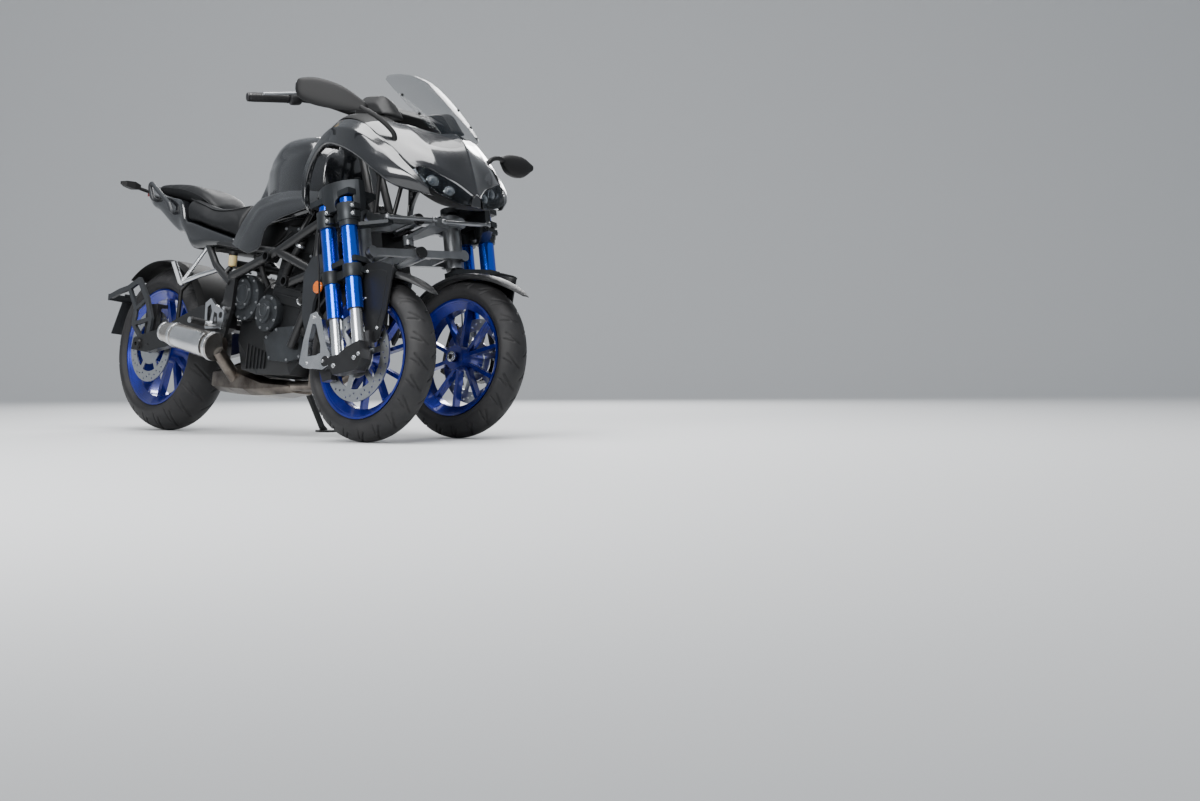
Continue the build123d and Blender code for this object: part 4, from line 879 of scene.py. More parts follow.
def foam_rows(table, kind):
    """Closed rings of one seat pad, a little smaller than its cover."""
    rings = []
    for row in table:
        if kind == "rider":
            x, w1, z1, w2, z2, w3, z3, z0 = row
            half = [(x, 0, z0 - 2), (x, -w1 * 0.6, (z0 + z1) / 2 - 1), (x, -w1, z1 - 3), (x, -w2 + 2, z2),
                    (x, -w3 + 3, z3 + 3)]
        else:
            x, w, zt, zl = row
            half = [(x, 0, zt - 1), (x, -w * 0.7, zt - 2), (x, -w + 3, zt - (zt - zl) * 0.4),
                    (x, -w * 0.86 + 2, zl + 2)]
        right = eased(half, 6)
        low = right[-1]
        under = [Vector((x, low.y * (1 - t / 4), low.z + 2)) for t in (1, 2, 3)]
        ring = right + under
        rings.append(ring + [Vector((x, 0, low.z + 2))] + mirrored(ring[1:]))
    return swept(rings, 6)


FOAM_GRAIN = 0.0062   # the size of the foam mesh's faces in metres
COVER_FRAMES = 20


def upholstered(name, rows, swell_mm):
    """Foam swollen under its cover by a short cloth run, then smoothed."""
    pad = net_piece(name, rows, parked, ring=True, ends=True)
    bpy.context.view_layer.objects.active = pad
    start = pad.modifiers.new("even", "REMESH")
    start.mode = "VOXEL"
    start.voxel_size = FOAM_GRAIN
    depsgraph = bpy.context.evaluated_depsgraph_get()
    even = bpy.data.meshes.new_from_object(pad.evaluated_get(depsgraph))
    pad.modifiers.clear()
    pad.data = even
    rest = [v.co.copy() for v in pad.data.vertices]
    cloth = pad.modifiers.new("cover", "CLOTH")
    cloth.settings.quality = 4
    cloth.settings.mass = 0.3
    cloth.settings.tension_stiffness = 25.0
    cloth.settings.compression_stiffness = 25.0
    cloth.settings.bending_stiffness = 0.8
    cloth.settings.use_pressure = True
    cloth.settings.uniform_pressure_force = 4.0
    cloth.settings.effector_weights.gravity = 0.0
    cloth.collision_settings.use_collision = False
    for step in range(1, COVER_FRAMES + 1):
        scene.frame_set(step)
    depsgraph = bpy.context.evaluated_depsgraph_get()
    grown = [v.co.copy() for v in pad.evaluated_get(depsgraph).data.vertices]
    pad.modifiers.clear()
    scene.frame_set(1)
    for vertex, was, now in zip(pad.data.vertices, rest, grown):
        move = now - was
        if move.length > swell_mm / 1000:
            move *= swell_mm / 1000 / move.length
        vertex.co = was + move
    smooth = pad.modifiers.new("settled", "SMOOTH")
    smooth.factor = 0.5
    smooth.iterations = 6
    finer = pad.modifiers.new("finer", "SUBSURF")
    finer.levels = finer.render_levels = 1
    for face in pad.data.polygons:
        face.use_smooth = True
    return pad


rider_pad = upholstered("rider_seat_pad", foam_rows(RIDER, "rider"), 7.0)
passenger_pad = upholstered("passenger_seat_pad", foam_rows(PASSENGER, "passenger"), 6.0)
for pad, cad_name in ((rider_pad, "rider_seat"), (passenger_pad, "passenger_seat")):
    put(pad, seat_vinyl)
    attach(pad, "chassis")
    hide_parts(cad_name)


def cord_piece(name, runs, place, sides=8, parts=6):
    """Round runs through points, each with its radius, as one mesh."""
    points, faces = [], []
    for radius, line in runs:
        line = eased(line, parts) if parts > 1 and len(line) > 2 else [Vector(p) for p in line]
        ahead = (line[1] - line[0]).normalized()
        side = ahead.orthogonal().normalized()
        start = len(points)
        for i, spot in enumerate(line):
            ahead = (line[min(i + 1, len(line) - 1)] - line[max(i - 1, 0)]).normalized()
            side = (side - ahead * side.dot(ahead)).normalized()
            other = ahead.cross(side)
            for k in range(sides):
                a = 2 * math.pi * k / sides
                points.append(spot + (side * math.cos(a) + other * math.sin(a)) * radius)
        faces += [tuple(start + i for i in face) for face in net_faces(len(line), sides, True, True)]
    return mesh_piece(name, points, faces, place)


# The piping: a raised sewn welt along the upper edge of both seat covers.
WELT_RADIUS = 1.8
welts = []
for side in (-1, 1):
    welts.append((WELT_RADIUS, [(x, side * (w1 + 5), z1 - 2) for x, w1, z1, w2, z2, w3, z3, z0 in RIDER]))
    behind = [(x, side * (w - 2), zt - (zt - zl) * 0.32) for x, w, zt, zl in PASSENGER[:-1]]
    welts.append((WELT_RADIUS, behind))
welts = cord_piece("seat_welts", welts, parked)
put(welts, seat_vinyl)
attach(welts, "chassis")

# The windscreen: one sheet of thermoformed polycarbonate, bowed across and
# upright, held by three screws near each of its side edges.
def screen_spot(u, y, lift=0.0):
    """A point of the bowed sheet: u up the sheet from its foot, y across."""
    off = -34.0 * (y / 150) ** 2 + 9.0 * math.sin(math.pi * u / 400) + lift
    return Vector((1662 - 0.752 * u + 0.659 * off, y, 996 + 0.659 * u + 0.752 * off))


low_edge = eased([(0, 0, 0), (10, 46, 0), (52, 92, 0), (102, 112, 0), (200, 128, 0), (296, 135, 0)], 8)
top_edge = eased([(400, 0, 0), (399, 50, 0), (395, 92, 0), (386, 120, 0), (368, 134, 0)], 8)


def edge_at(edge, y):
    for a, b in zip(edge, edge[1:]):
        if a.y <= y <= b.y:
            return a.x + (b.x - a.x) * (y - a.y) / max(1e-6, b.y - a.y)
    return edge[-1].x


SCREEN_HALF_WIDTH = 134
rows = []
for k in range(-24, 25):
    y = SCREEN_HALF_WIDTH * math.sin(k / 24 * math.pi / 2)
    low, high = edge_at(low_edge, abs(y)), edge_at(top_edge, abs(y))
    rows.append([screen_spot(low + (high - low) * t / 20, y) for t in range(21)])
screen = net_piece("windscreen_sheet", rows, parked)
faced(screen, (0.6, 0, 0.7))
moulded(screen, 3.0, 1.2)
put(screen, clear_sheet)
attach(screen, "chassis")
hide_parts("windscreen")
screws = []
for side in (-1, 1):
    for u, y in ((70, 92), (150, 114), (262, 125)):
        at = screen_spot(u, side * y, 0.5)
        screws.append((tuple(at), (0.65, side * 0.3, 0.72), 4.2))
screws = bolt_set("windscreen_screws", screws, parked)
put(screws, black_plastic)
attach(screws, "chassis")

# The headlamps: smoked clear covers that follow the body, over black chrome
# housings with two projector lenses a side and a row of small lamps at the edge.
lamp_black, tree, shader = finish_named("black_chrome_lamp_housing", {
    "Base Color": linear("#0b0c0e"), "Metallic": 0.85, "Roughness": 0.22})
grain = node(tree, "ShaderNodeTexNoise", {"Scale": 900.0, "Detail": 2.0})
uneven(tree, shader, "Roughness", grain.outputs["Fac"], 0.16, 0.34)
lamp_chrome, tree, shader = finish_named("bright_lamp_reflector", {
    "Base Color": linear("#c9ced4"), "Metallic": 1.0})
grain = node(tree, "ShaderNodeTexNoise", {"Scale": 1400.0, "Detail": 2.0})
uneven(tree, shader, "Roughness", grain.outputs["Fac"], 0.08, 0.2)
lens_glass, tree, shader = finish_named("projector_lens_glass", {
    "Base Color": linear("#9fb0bd"), "Roughness": 0.04, "Coat Weight": 1.0, "Metallic": 0.25})
# The lens colour runs from dark glass face-on to a pale painted reflection toward its grazing rim.
rim_reflection_weight = node(tree, "ShaderNodeLayerWeight", {"Blend": 0.35})
painted_rim_reflection = node(tree, "ShaderNodeMix", {"data_type": "RGBA"}, {0: rim_reflection_weight.outputs["Facing"]})
painted_rim_reflection.inputs[6].default_value = linear("#39434c")
painted_rim_reflection.inputs[7].default_value = linear("#e6edf2")
tree.links.new(painted_rim_reflection.outputs[2], shader.inputs["Base Color"])

bottom = [(1650, -186, 846), (1690, -146, 808), (1722, -66, 780), (1740, -16, 780)]
top = [(1636, -176, 892), (1664, -150, 886), (1702, -70, 850), (1740, -16, 808)]
inner_edge = [(1740, -16, 780), (1741, -14, 794), (1740, -16, 808)]
outer_edge = [(1650, -186, 846), (1642, -184, 868), (1636, -176, 892)]
rows = laid(fairing_form, bottom, inner_edge, top, outer_edge, 28, 12, (-1, 0.3, -0.1))
lens = both_sides("headlamp_lenses", rows, parked, (1, -0.2, 0.3))
moulded(lens, 2.0, 0.6)
put(lens, clear_sheet)
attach(lens, "chassis")
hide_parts("headlamps")


def hollow(t):
    """0 at both ends of a run and 1 in its middle, steep at the ends."""
    return math.sin(math.pi * min(1, max(0, t))) ** 0.5


deep_rows = laid(fairing_form, bottom, inner_edge, top, outer_edge, 28, 12, (-1, 0.3, -0.1),
                 lambda u, v: -4.0 - 26.0 * hollow(v) * hollow(u))
housing = both_sides("headlamp_housings", deep_rows, parked, (1, -0.2, 0.3))
moulded(housing, 1.5, 0.4)
put(housing, lamp_black)
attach(housing, "chassis")
projectors, pearls = [], []
for side in (-1, 1):
    for x, y, z, r in ((1668, 128, 846, 17), (1696, 76, 818, 15)):
        turn = Vector((0.92, side * 0.34, 0.02)).normalized()
        projectors.append(((x - 10, side * y, z), turn, r))
for n, (middle, turn, r) in enumerate(projectors):
    dome = [(r * math.cos(a), 4 + r * 0.62 * math.sin(a)) for a in (0, 0.26, 0.52, 0.79, 1.05, 1.31, 1.5)]
    ball = lathed("projector_lens_%d" % n, [(r, -8)] + dome, middle, turn, parked)
    put(ball, lens_glass)
    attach(ball, "chassis")
    profile = [(r + 1, -6), (r + 5, -4), (r + 6, 1), (r + 5, 4), (r + 1.5, 5), (r + 0.6, 2)]
    ring = lathed("projector_bezel_%d" % n, profile, middle, turn, parked)
    put(ring, lamp_chrome)
    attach(ring, "chassis")
for side in (-1, 1):
    for k in range(7):
        t = k / 6
        at = Vector((1640 + 22 * t, side * (186 - 26 * t), 876 - 34 * t))
        pearls.append((tuple(at + Vector((-6, 0, 0))), (0.9, side * 0.4, 0.1), 3.4))
pearls = bolt_set("position_lamp_row", pearls, parked)
put(pearls, lamp_chrome)
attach(pearls, "chassis")

# The front mudguards: close-fitting mouldings in grained black plastic over
# each wheel, with a deep skirt outboard that hides the brake caliper's mount.
FRONT_GUARD = [
    # degrees ahead of the fork line, middle and edge height above the tyre, half width
    (-62, 34, 10, 46),
    (-42, 24, -4, 60),
    (-18, 19, -10, 66),
    (8, 19, -8, 66),
    (30, 27, 2, 64),
    (46, 42, 24, 56),
    (58, 56, 46, 38),
    (66, 68, 64, 16),
]
FRONT_TYRE = 274.5   # the front tyres' radius in millimetres
RAKE, TURNED_IN = math.radians(-15), math.radians(5)   # the fork's rake and the wheels' turn at rest
WHEEL_MIDDLES = {   # of the front wheels, in metres in the shared frame
    "right": (0.801898, -0.293463, 0.272271),
    "left": (0.788516, 0.116319, 0.272271),
}
fork_places = {}
for side, middle in WHEEL_MIDDLES.items():
    place = Matrix.Translation(middle) @ Matrix.Scale(0.001, 4) @ Matrix.Rotation(-lean, 4, "X")
    place = place @ Matrix.Rotation(RAKE, 4, "Y") @ Matrix.Rotation(TURNED_IN, 4, "Z")
    fork_places[side] = place if side == "right" else place @ Matrix.Scale(-1, 4, (0, 1, 0))


def rounded(outline, corner, steps=4):
    """A closed outline with its corners turned into short arcs."""
    out = []
    spots = [Vector(p) for p in outline]
    for i, here in enumerate(spots):
        back, ahead = spots[i - 1] - here, spots[(i + 1) % len(spots)] - here
        cut = min(corner, back.length * 0.45, ahead.length * 0.45)
        a, b = here + back.normalized() * cut, here + ahead.normalized() * cut
        for k in range(steps + 1):
            t = k / steps
            out.append(a * (1 - t) ** 2 + here * 2 * t * (1 - t) + b * t * t)
    return out


def plate_piece(name, plates, place, round_mm):
    """Flat plates with rounded corners and edges: outline, level, level, axis."""
    points, faces = [], []
    for outline, y0, y1, corner, axis in plates:
        line = rounded([(a, b) for a, b in outline], corner)
        start = len(points)
        for y in (y0, y1):
            for p in line:
                spots = {"x": (y, p.x, p.y), "y": (p.x, y, p.y), "z": (p.x, p.y, y)}
                points.append(spots[axis])
        n = len(line)
        faces += [tuple(start + i for i in face) for face in net_faces(2, n, True, True)]
    made = mesh_piece(name, points, faces, place, smooth=False)
    faced_outward(made)
    bevelled(made, round_mm, 3, 50)
    return made


def over_tyre(line, degrees):
    """Spots across and above the front tyre, turned this far ahead of the fork line."""
    a = math.radians(degrees)
    return [((FRONT_TYRE + h) * math.sin(a), y, (FRONT_TYRE + h) * math.cos(a)) for y, h in line]


SKIRT = [(80, 292), (146, 285), (213, 252), (162, 106), (118, 27), (96, 19), (63, 35), (47, 172)]
SKIRT_FACE = [(92, 262), (150, 256), (186, 236), (146, 122), (110, 60), (84, 84), (66, 176)]
for side in ("right", "left"):
    arcs = []
    for degrees, middle, edge_h, w in FRONT_GUARD:
        between = edge_h * 0.3 + middle * 0.7
        arc = [(-w, edge_h), (-w * 0.93, (edge_h + between) / 2 + 1), (-w * 0.78, between),
               (-w * 0.34, middle - 0.4), (0, middle)]
        arc = arc + [(-y, h) for y, h in reversed(arc[:-1])]
        arcs.append(over_tyre(arc, degrees))
    rows = swept([eased(arc, 4) for arc in arcs], 6)
    guard = net_piece("mudguard_skin_" + side, rows, fork_places[side])
    faced(guard, (0, 0, 1))
    moulded(guard, 2.8, 1.0)
    put(guard, guard_plastic)
    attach(guard, "fork_" + side)
    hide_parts("mudguard_" + side)
    plates = [(SKIRT, -79.5, -72, 12, "y"), (SKIRT_FACE, -80.5, -79, 10, "y")]
    skirt = plate_piece("mudguard_skirt_" + side, plates, fork_places[side], 1.6)
    put(skirt, guard_plastic)
    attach(skirt, "fork_" + side)
    lip_rows = []
    for degrees, out, inn in ((14, 16, -3), (22, 27, -1), (28, 38, 0), (35, 46, 4), (41, 53, 8)):
        ring = [(-79, out), (-68, out - 4), (-58, out - 9), (-58, inn), (-79, inn)]
        lip_rows.append(over_tyre(ring, degrees))
    lip = net_piece("mudguard_lip_" + side, lip_rows, fork_places[side], ring=True, ends=True)
    put(lip, guard_plastic)
    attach(lip, "fork_" + side)

# The mirrors: black moulded shells on folding stalks, each with a silvered
# glass set just inside its rim.
MIRRORS = [
    # side, stalk, then sections: forward low, forward high, rear high, rear low as x, z at each y
    ("right", [(1540, -206, 958), (1545, -218, 1000), (1508, -262, 1048), (1462, -300, 1078)], [
        (-286, (1488, 1062), (1482, 1092), (1462, 1096), (1466, 1066)),
        (-340, (1430, 1062), (1424, 1142), (1386, 1150), (1392, 1066)),
        (-392, (1366, 1072), (1360, 1166), (1318, 1172), (1324, 1078)),
        (-430, (1318, 1094), (1314, 1162), (1286, 1166), (1290, 1098)),
        (-441, (1300, 1118), (1298, 1144), (1284, 1146), (1286, 1122))]),
    ("left", [(1545, 200, 956), (1550, 210, 990), (1528, 262, 1010), (1504, 314, 1012)], [
        (300, (1516, 1000), (1514, 1024), (1494, 1026), (1496, 998)),
        (336, (1526, 974), (1522, 1036), (1482, 1042), (1484, 968)),
        (392, (1532, 966), (1528, 1038), (1484, 1044), (1486, 964)),
        (440, (1522, 1000), (1520, 1020), (1500, 1022), (1502, 998))]),
]
mirror_glass, tree, shader = finish_named("silvered_mirror_glass", {
    "Base Color": linear("#d9dee2"), "Metallic": 1.0})
grain = node(tree, "ShaderNodeTexNoise", {"Scale": 800.0})
uneven(tree, shader, "Roughness", grain.outputs["Fac"], 0.02, 0.05)
for side, stalk, table in MIRRORS:
    rings, panes = [], []
    for y, p0, p1, p2, p3 in table:
        corners = [Vector((x, y, z)) for x, z in (p0, p1, p2, p3)]
        middle = sum(corners, Vector()) / 4
        up = (corners[1] + corners[2] - corners[0] - corners[3]) / 4
        fore = (corners[0] + corners[1] - corners[2] - corners[3]) / 4
        ring = []
        for k in range(36):
            a = 2 * math.pi * k / 36
            c, s = math.cos(a), math.sin(a)
            bow = 0.9 if c > 0 else 0.3
            ring.append(middle + up * math.copysign(abs(s) ** 0.72, s)
                        + fore * math.copysign(abs(c) ** bow, c) * 0.98)
        rings.append(ring)
        panes.append([middle - fore * 1.02 + up * t for t in (-0.8, -0.4, 0, 0.4, 0.8)])
    rows = swept(rings, 5)
    shell = net_piece("mirror_shell_" + side, rows, parked, ring=True, ends=True)
    put(shell, black_plastic)
    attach(shell, "chassis")
    if side == "right":
        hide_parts("mirrors")
    rows = swept(panes[1:], 4)
    pane = net_piece("mirror_glass_" + side, rows, parked)
    faced(pane, (-1, 0, 0))
    moulded(pane, 1.0, 0.3)
    put(pane, mirror_glass)
    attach(pane, "chassis")
    arm = cord_piece("mirror_stalk_" + side, [(8.5, stalk)], parked, 16, 8)
    put(arm, black_plastic)
    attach(arm, "chassis")

# The engine's small parts: cover screws, the water hoses with their clips, the
# rear brake's fluid cup, and the finned face of the radiator.
COVER_CIRCLES = [
    # middle x and z, level y, circle radius, screws, first screw's turn, head radius
    (684, 484, -156, 77, 11, 0.3, 4.2),
    (676, 496, -166, 48, 5, 0.3, 3.8),
    (828, 424, -158, 59, 8, 0.3, 4.2),
    (824, 430, -170, 34, 3, 0.3, 3.8),
    (880, 375, 160, 77, 10, 0.0, 4.2),
]
CASE_SCREWS = [
    # level y, head radius, then the places x, z
    (-146, 4.2, (826, 338), (884, 364), (990, 368), (1030, 346), (1032, 268), (960, 256), (854, 264)),
    (146, 4.2, (636, 352), (700, 348), (760, 352), (762, 448), (700, 452), (644, 450)),
    (-138, 4.8, (890, 650), (1040, 622)),
    (138, 4.8, (890, 650), (1040, 622)),
    (-142, 4.8, (884, 728), (960, 722), (1030, 708)),
    (142, 4.8, (884, 728), (960, 722), (1030, 708)),
]
engine_bolts = []
for x, z, y, r, count, first, head in COVER_CIRCLES:
    for k in range(count):
        a = 2 * math.pi * k / count + first
        spot = (x + r * math.cos(a), y, z + r * math.sin(a))
        engine_bolts.append((spot, (0, math.copysign(1, y), 0), head))
for y, head, *places in CASE_SCREWS:
    engine_bolts += [((x, y, z), (0, math.copysign(1, y), 0), head) for x, z in places]
engine_screws = bolt_set("engine_cover_screws", engine_bolts, parked)
put(engine_screws, arm_grey)
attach(engine_screws, "chassis")
COVER_STEPS = [(676, 496, -166, 30, 41), (824, 430, -170, 18, 27), (880, 375, 170, 26, 38)]
for n, (x, z, y, r0, r1) in enumerate(COVER_STEPS):
    profile = [(r1, -1), (r1, 1.5), (r1 - 2, 3.0), (r0 + 2, 3.0), (r0, 1.2), (r0, 0.4), (4, 0.4)]
    step = lathed("engine_cover_step_%d" % n, profile, (x, y, z), (0, math.copysign(1, y), 0), parked, 56)
    put(step, cover_grey)
    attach(step, "chassis")
hoses = cord_piece("water_hoses", [
    (14, [(1004, -128, 700), (1000, -158, 660), (975, -168, 610), (935, -160, 560), (912, -140, 520)]),
    (12, [(1100, -150, 500), (1062, -158, 486), (1024, -150, 470), (1000, -130, 452)]),
    (14, [(1108, -140, 372), (1066, -152, 346), (1040, -152, 392), (1010, -132, 420)]),
    (10, [(760, -120, 640), (778, -160, 612), (800, -166, 566), (806, -140, 520)]),
    (14, [(1004, 128, 700), (1020, 158, 660), (1056, 156, 580), (1100, 140, 520)]),
    (12, [(1108, 140, 372), (1066, 152, 346), (1040, 150, 392), (1010, 132, 420)]),
], parked, 16, 6)
put(hoses, black_plastic)
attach(hoses, "chassis")
wires = cord_piece("engine_wiring", [
    (3.2, [(700, -140, 640), (742, -170, 626), (800, -172, 640), (862, -160, 668), (930, -150, 716)]),
    (2.6, [(700, -140, 634), (746, -168, 606), (812, -160, 606), (880, -150, 640)]),
    (3.6, [(560, -120, 600), (602, -160, 596), (650, -168, 590), (700, -150, 572)]),
    (2.6, [(812, -160, 500), (850, -166, 520), (902, -156, 548), (960, -150, 600)]),
    (3.2, [(700, 140, 640), (742, 170, 626), (800, 172, 640), (862, 160, 668), (930, 150, 716)]),
], parked, 10, 6)
put(wires, black_plastic)
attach(wires, "chassis")
HOSE_CLIPS = [
    # x, y, z, and the way the hose runs there
    (998, -158, 656, (-0.3, -0.2, -1)),
    (918, -146, 530, (-0.5, 0.4, -1)),
    (1088, -153, 496, (-1, -0.2, -0.4)),
    (1012, -142, 462, (-1, 0.6, -0.5)),
    (1098, -143, 366, (-1, -0.2, -0.5)),
]
for n, (x, y, z, axis) in enumerate(HOSE_CLIPS):
    profile = [(13, -5), (16.4, -5), (16.8, 0), (16.4, 5), (13, 5)]
    clip = lathed("hose_clip_%d" % n, profile, (x, y, z), axis, parked, 28)
    put(clip, leg_silver)
    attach(clip, "chassis")
profile = [(11, 0), (15, 2), (16, 6), (16, 40), (17, 41), (17, 52), (15, 54), (4, 54)]
cup = lathed("rear_brake_fluid_cup", profile, (576, -150, 602), (0, 0, 1), parked, 32)
fluid, tree, shader = finish_named("amber_tinted_fluid_cup", {
    "Base Color": linear("#b9a878"), "Roughness": 0.22, "Subsurface Weight": 0.2})
mist = node(tree, "ShaderNodeTexNoise", {"Scale": 60.0})
uneven(tree, shader, "Roughness", mist.outputs["Fac"], 0.16, 0.34)
put(cup, fluid)
cup.data.materials.append(black_plastic)
for face in cup.data.polygons:
    face.material_index = 1 if face.center.z > (parked @ Vector((576, -150, 642))).z else 0
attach(cup, "chassis")
FIN_COUNT, FIN_PITCH = 52, 4.0
fins = []
for k in range(FIN_COUNT):
    z = 322 + k * FIN_PITCH
    for x, dz in ((1142.0, 0.0), (1144.5, 1.0), (1144.5, 2.0), (1142.0, 3.0)):
        fins.append([(x, -142, z + dz), (x, 142, z + dz)])
core = net_piece("radiator_core_fins", fins, parked)
put(core, axle_black)
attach(core, "chassis")

# The reflectors: a round amber one on each radiator shroud.
SIDES = ((-1, "right"), (1, "left"))
for side, tag in SIDES:
    profile = [(22, -4), (22, 1), (20, 3.2), (14, 4.2), (5, 4.6)]
    glow = lathed("side_reflector_" + tag, profile, (1176, side * 198, 500), (0.1, side, 0), parked, 36)
    put(glow, amber_lens)
    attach(glow, "chassis")

# The front forks: pinch bolts in the clamps, the axle's nut, the caliper stay
# machined bright, and the brake hose that follows the leg to the yoke.
FORK_BOLTS = [
    # forward, across, up, head radius
    (96, -128, 456, 5.0), (96, -128, 484, 5.0), (-8, -146, 456, 5.0), (-8, -146, 484, 5.0),
    (82, -102, 263.5, 3.6), (82, -102, 275, 3.6), (57, -134, -28, 6.0), (-41, -134, -30, 6.0),
    (78, -134, -20, 5.0), (-96, -126, 0, 5.5), (-176, -126, 14, 4.2), (-126, -126, 160, 4.6),
    (118, -80.8, 64, 4.2), (96, -80.8, 262, 4.2), (76, -80.8, 176, 3.6),
]
LUGS = [[(78, -128), (104, -128), (104, -96), (70, -92)], [(-20, -146), (4, -146), (8, -128), (-24, -128)]]
for side in ("right", "left"):
    place = fork_places[side]
    plates = [(line, low, low + 20, 5, "z") for line in LUGS for low in (446, 474)]
    lugs = plate_piece("clamp_lugs_" + side, plates, place, 1.6)
    put(lugs, yoke_grey)
    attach(lugs, "fork_" + side)
    spots = [((p, q, s), (0, -1, 0), head) for p, q, s, head in FORK_BOLTS]
    bolts = bolt_set("fork_bolts_" + side, spots, place)
    put(bolts, leg_silver)
    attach(bolts, "fork_" + side)
    profile = [(18.5, -5), (18.5, 1.0), (16, 2.0), (13, 2.0), (12.6, 3.6), (9, 3.6), (8.6, 0)]
    nut = lathed("front_axle_nut_" + side, profile, (0, 61, 0), (0, 1, 0), place, 36)
    put(nut, leg_silver)
    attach(nut, "fork_" + side)
    carrier = nodes["axle_carrier_" + side]
    carrier.data.materials.append(rest_silver)
    back = place.inverted() @ carrier.matrix_world
    for face in carrier.data.polygons:
        at = back @ face.center
        face.material_index = 1 if at.x < -63 and -127 < at.y < -105 else 0
    hose = cord_piece("front_brake_hose_" + side, [
        (3.4, [(-128, -84, 66), (-150, -100, 110), (-120, -104, 200), (-92, -120, 300), (-84, -118, 430),
               (-60, -70, 500), (-20, -34, 500)]),
        (2.6, [(-100, -100, 20), (-84, -98, 90), (-80, -100, 180), (-82, -112, 300)]),
    ], place, 10, 6)
    put(hose, black_plastic)
    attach(hose, "fork_" + side)
    for p in (57, -41):
        profile = [(21, -4), (26, -4), (27.4, -1), (27.4, 6), (26.8, 9)]
        foot = (p, -110, 132 if p < 0 else 142)
        wiper = lathed("dust_wiper_%s_%d" % (side, p + 41), profile, foot, (0, 0, 1), place, 36)
        put(wiper, axle_black)
        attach(wiper, "fork_" + side)

# The handlebar's controls: ribbed rubber grips, end weights, switch housings,
# levers and the front brake's fluid cup.
bars_place = parked @ Matrix.Translation((1100, 0, 1110)) @ Matrix.Rotation(RAKE, 4, "Y")
bars_place = bars_place @ Matrix.Rotation(TURNED_IN, 4, "Z")
RIB_COUNT, RIB_PITCH = 26, 4.6
for side, tag in SIDES:
    near, far = Vector((-88, side * 275, 65)), Vector((-152, side * 398, 60))
    run = far - near
    ribs = [(12, 0), (17.6, 0.5), (17.6, 5)]
    for k in range(RIB_COUNT):
        s = 8 + k * RIB_PITCH
        ribs += [(15.6, s), (16.8, s + 0.8), (16.8, s + 2.6), (15.6, s + 3.4)]
    ribs += [(16.6, 130), (15, 132)]
    grip = lathed("handlebar_grip_" + tag, ribs, near, run, bars_place, 28)
    put(grip, black_plastic)
    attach(grip, "bars")
    profile = [(14, 0), (15.6, 1), (15.6, 5), (12, 8), (4, 8)]
    weight = lathed("bar_end_weight_" + tag, profile, far, run, bars_place, 28)
    put(weight, axle_black)
    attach(weight, "bars")
    profile = [(12, -46), (19, -45), (23, -38), (24, -20), (23, -8), (18, -3), (12, -2)]
    clamp = lathed("switch_housing_" + tag, profile, near, run, bars_place, 24)
    put(clamp, axle_black)
    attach(clamp, "bars")
    lever = cord_piece("control_lever_" + tag, [
        (5.6, [(-50, side * 236, 64), (-24, side * 262, 60), (-30, side * 300, 56), (-66, side * 352, 54),
               (-92, side * 388, 54)]),
        (7.6, [(-60, side * 232, 66), (-40, side * 246, 62), (-24, side * 262, 60)]),
    ], bars_place, 12, 6)
    put(lever, arm_grey)
    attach(lever, "bars")
profile = [(14, 0), (17, 2), (18, 24), (19, 26), (19, 32), (4, 33)]
bar_cup = lathed("front_brake_fluid_cup", profile, (-42, -226, 70), (0, 0, 1), bars_place, 28)
put(bar_cup, fluid)
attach(bar_cup, "bars")

# Behind the frame: the moulded air box under the tank and the battery tray
# below the seat, both plain black mouldings that fill the view through the tubes.
BOXES = [
    # name, sections as x, half width, z low, z high
    ("air_box", [(630, 84, 676, 700), (648, 108, 664, 752), (760, 116, 660, 772), (868, 112, 744, 782),
                 (905, 84, 748, 776)]),
    ("battery_tray", [(300, 70, 690, 706), (330, 84, 682, 716), (440, 88, 670, 712), (540, 84, 664, 708),
                      (562, 70, 672, 700)]),
]
for name, table in BOXES:
    rings = []
    for x, w, low, high in table:
        line = rounded([(-w, low), (w, low), (w, high), (-w, high)], 14)
        rings.append([Vector((x, p.x, p.y)) for p in line])
    made = net_piece(name, rings, parked, ring=True, ends=True)
    put(made, black_plastic)
    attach(made, "chassis")

# The exhaust's details: the heat-browned collector end of the silencer, three
# clamp bands, a black outlet, a heat shield, and rounded edges on the pipes.
silencer = nodes["silencer"]
silencer.data.materials.append(header_steel)
back = parked.inverted() @ silencer.matrix_world
for face in silencer.data.polygons:
    at = back @ face.center
    face.material_index = 1 if at.y > -176 and at.x > 560 else 0
axis = Vector((-248, -28, 48)).normalized()
start = Vector((600, -203, 297))
for n, (s, r0, r1, wide) in enumerate(((16, 51.6, 54.0, 6), (236, 44.6, 46.6, 7), (300, 36.2, 38.2, 5))):
    profile = [(r0, -wide), (r1, -wide + 1), (r1, wide - 1), (r0, wide)]
    band = lathed("silencer_band_%d" % n, profile, start + axis * s, axis, parked, 48)
    put(band, leg_silver)
    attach(band, "chassis")
profile = [(26.6, -60), (26.6, 6), (25.4, 7), (24.2, 6), (24.2, -58)]
outlet = lathed("silencer_outlet", profile, start + axis * 300, axis, parked, 40)
put(outlet, axle_black)
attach(outlet, "chassis")
heat_shield = []
for k in range(9):
    t = k / 8
    row = []
    for a in range(-6, 7):
        angle = math.radians(a * 8.0)
        r = 54.5 - 7.2 * t
        up = Vector((0.0, 0.0, 1.0))
        up = (up - axis * up.dot(axis)).normalized()
        out = axis.cross(up).normalized()
        if out.y > 0:
            out = -out
        row.append(start + axis * (34 + 180 * t) + (out * math.cos(angle) + up * math.sin(angle)) * r)
    heat_shield.append(row)
shield = net_piece("silencer_heat_shield", heat_shield, parked)
faced(shield, (0, -1, 0))
moulded(shield, 1.4, 0.5, inward=False)
put(shield, leg_silver)
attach(shield, "chassis")
softened("exhaust_pipes", 8.0, 20)

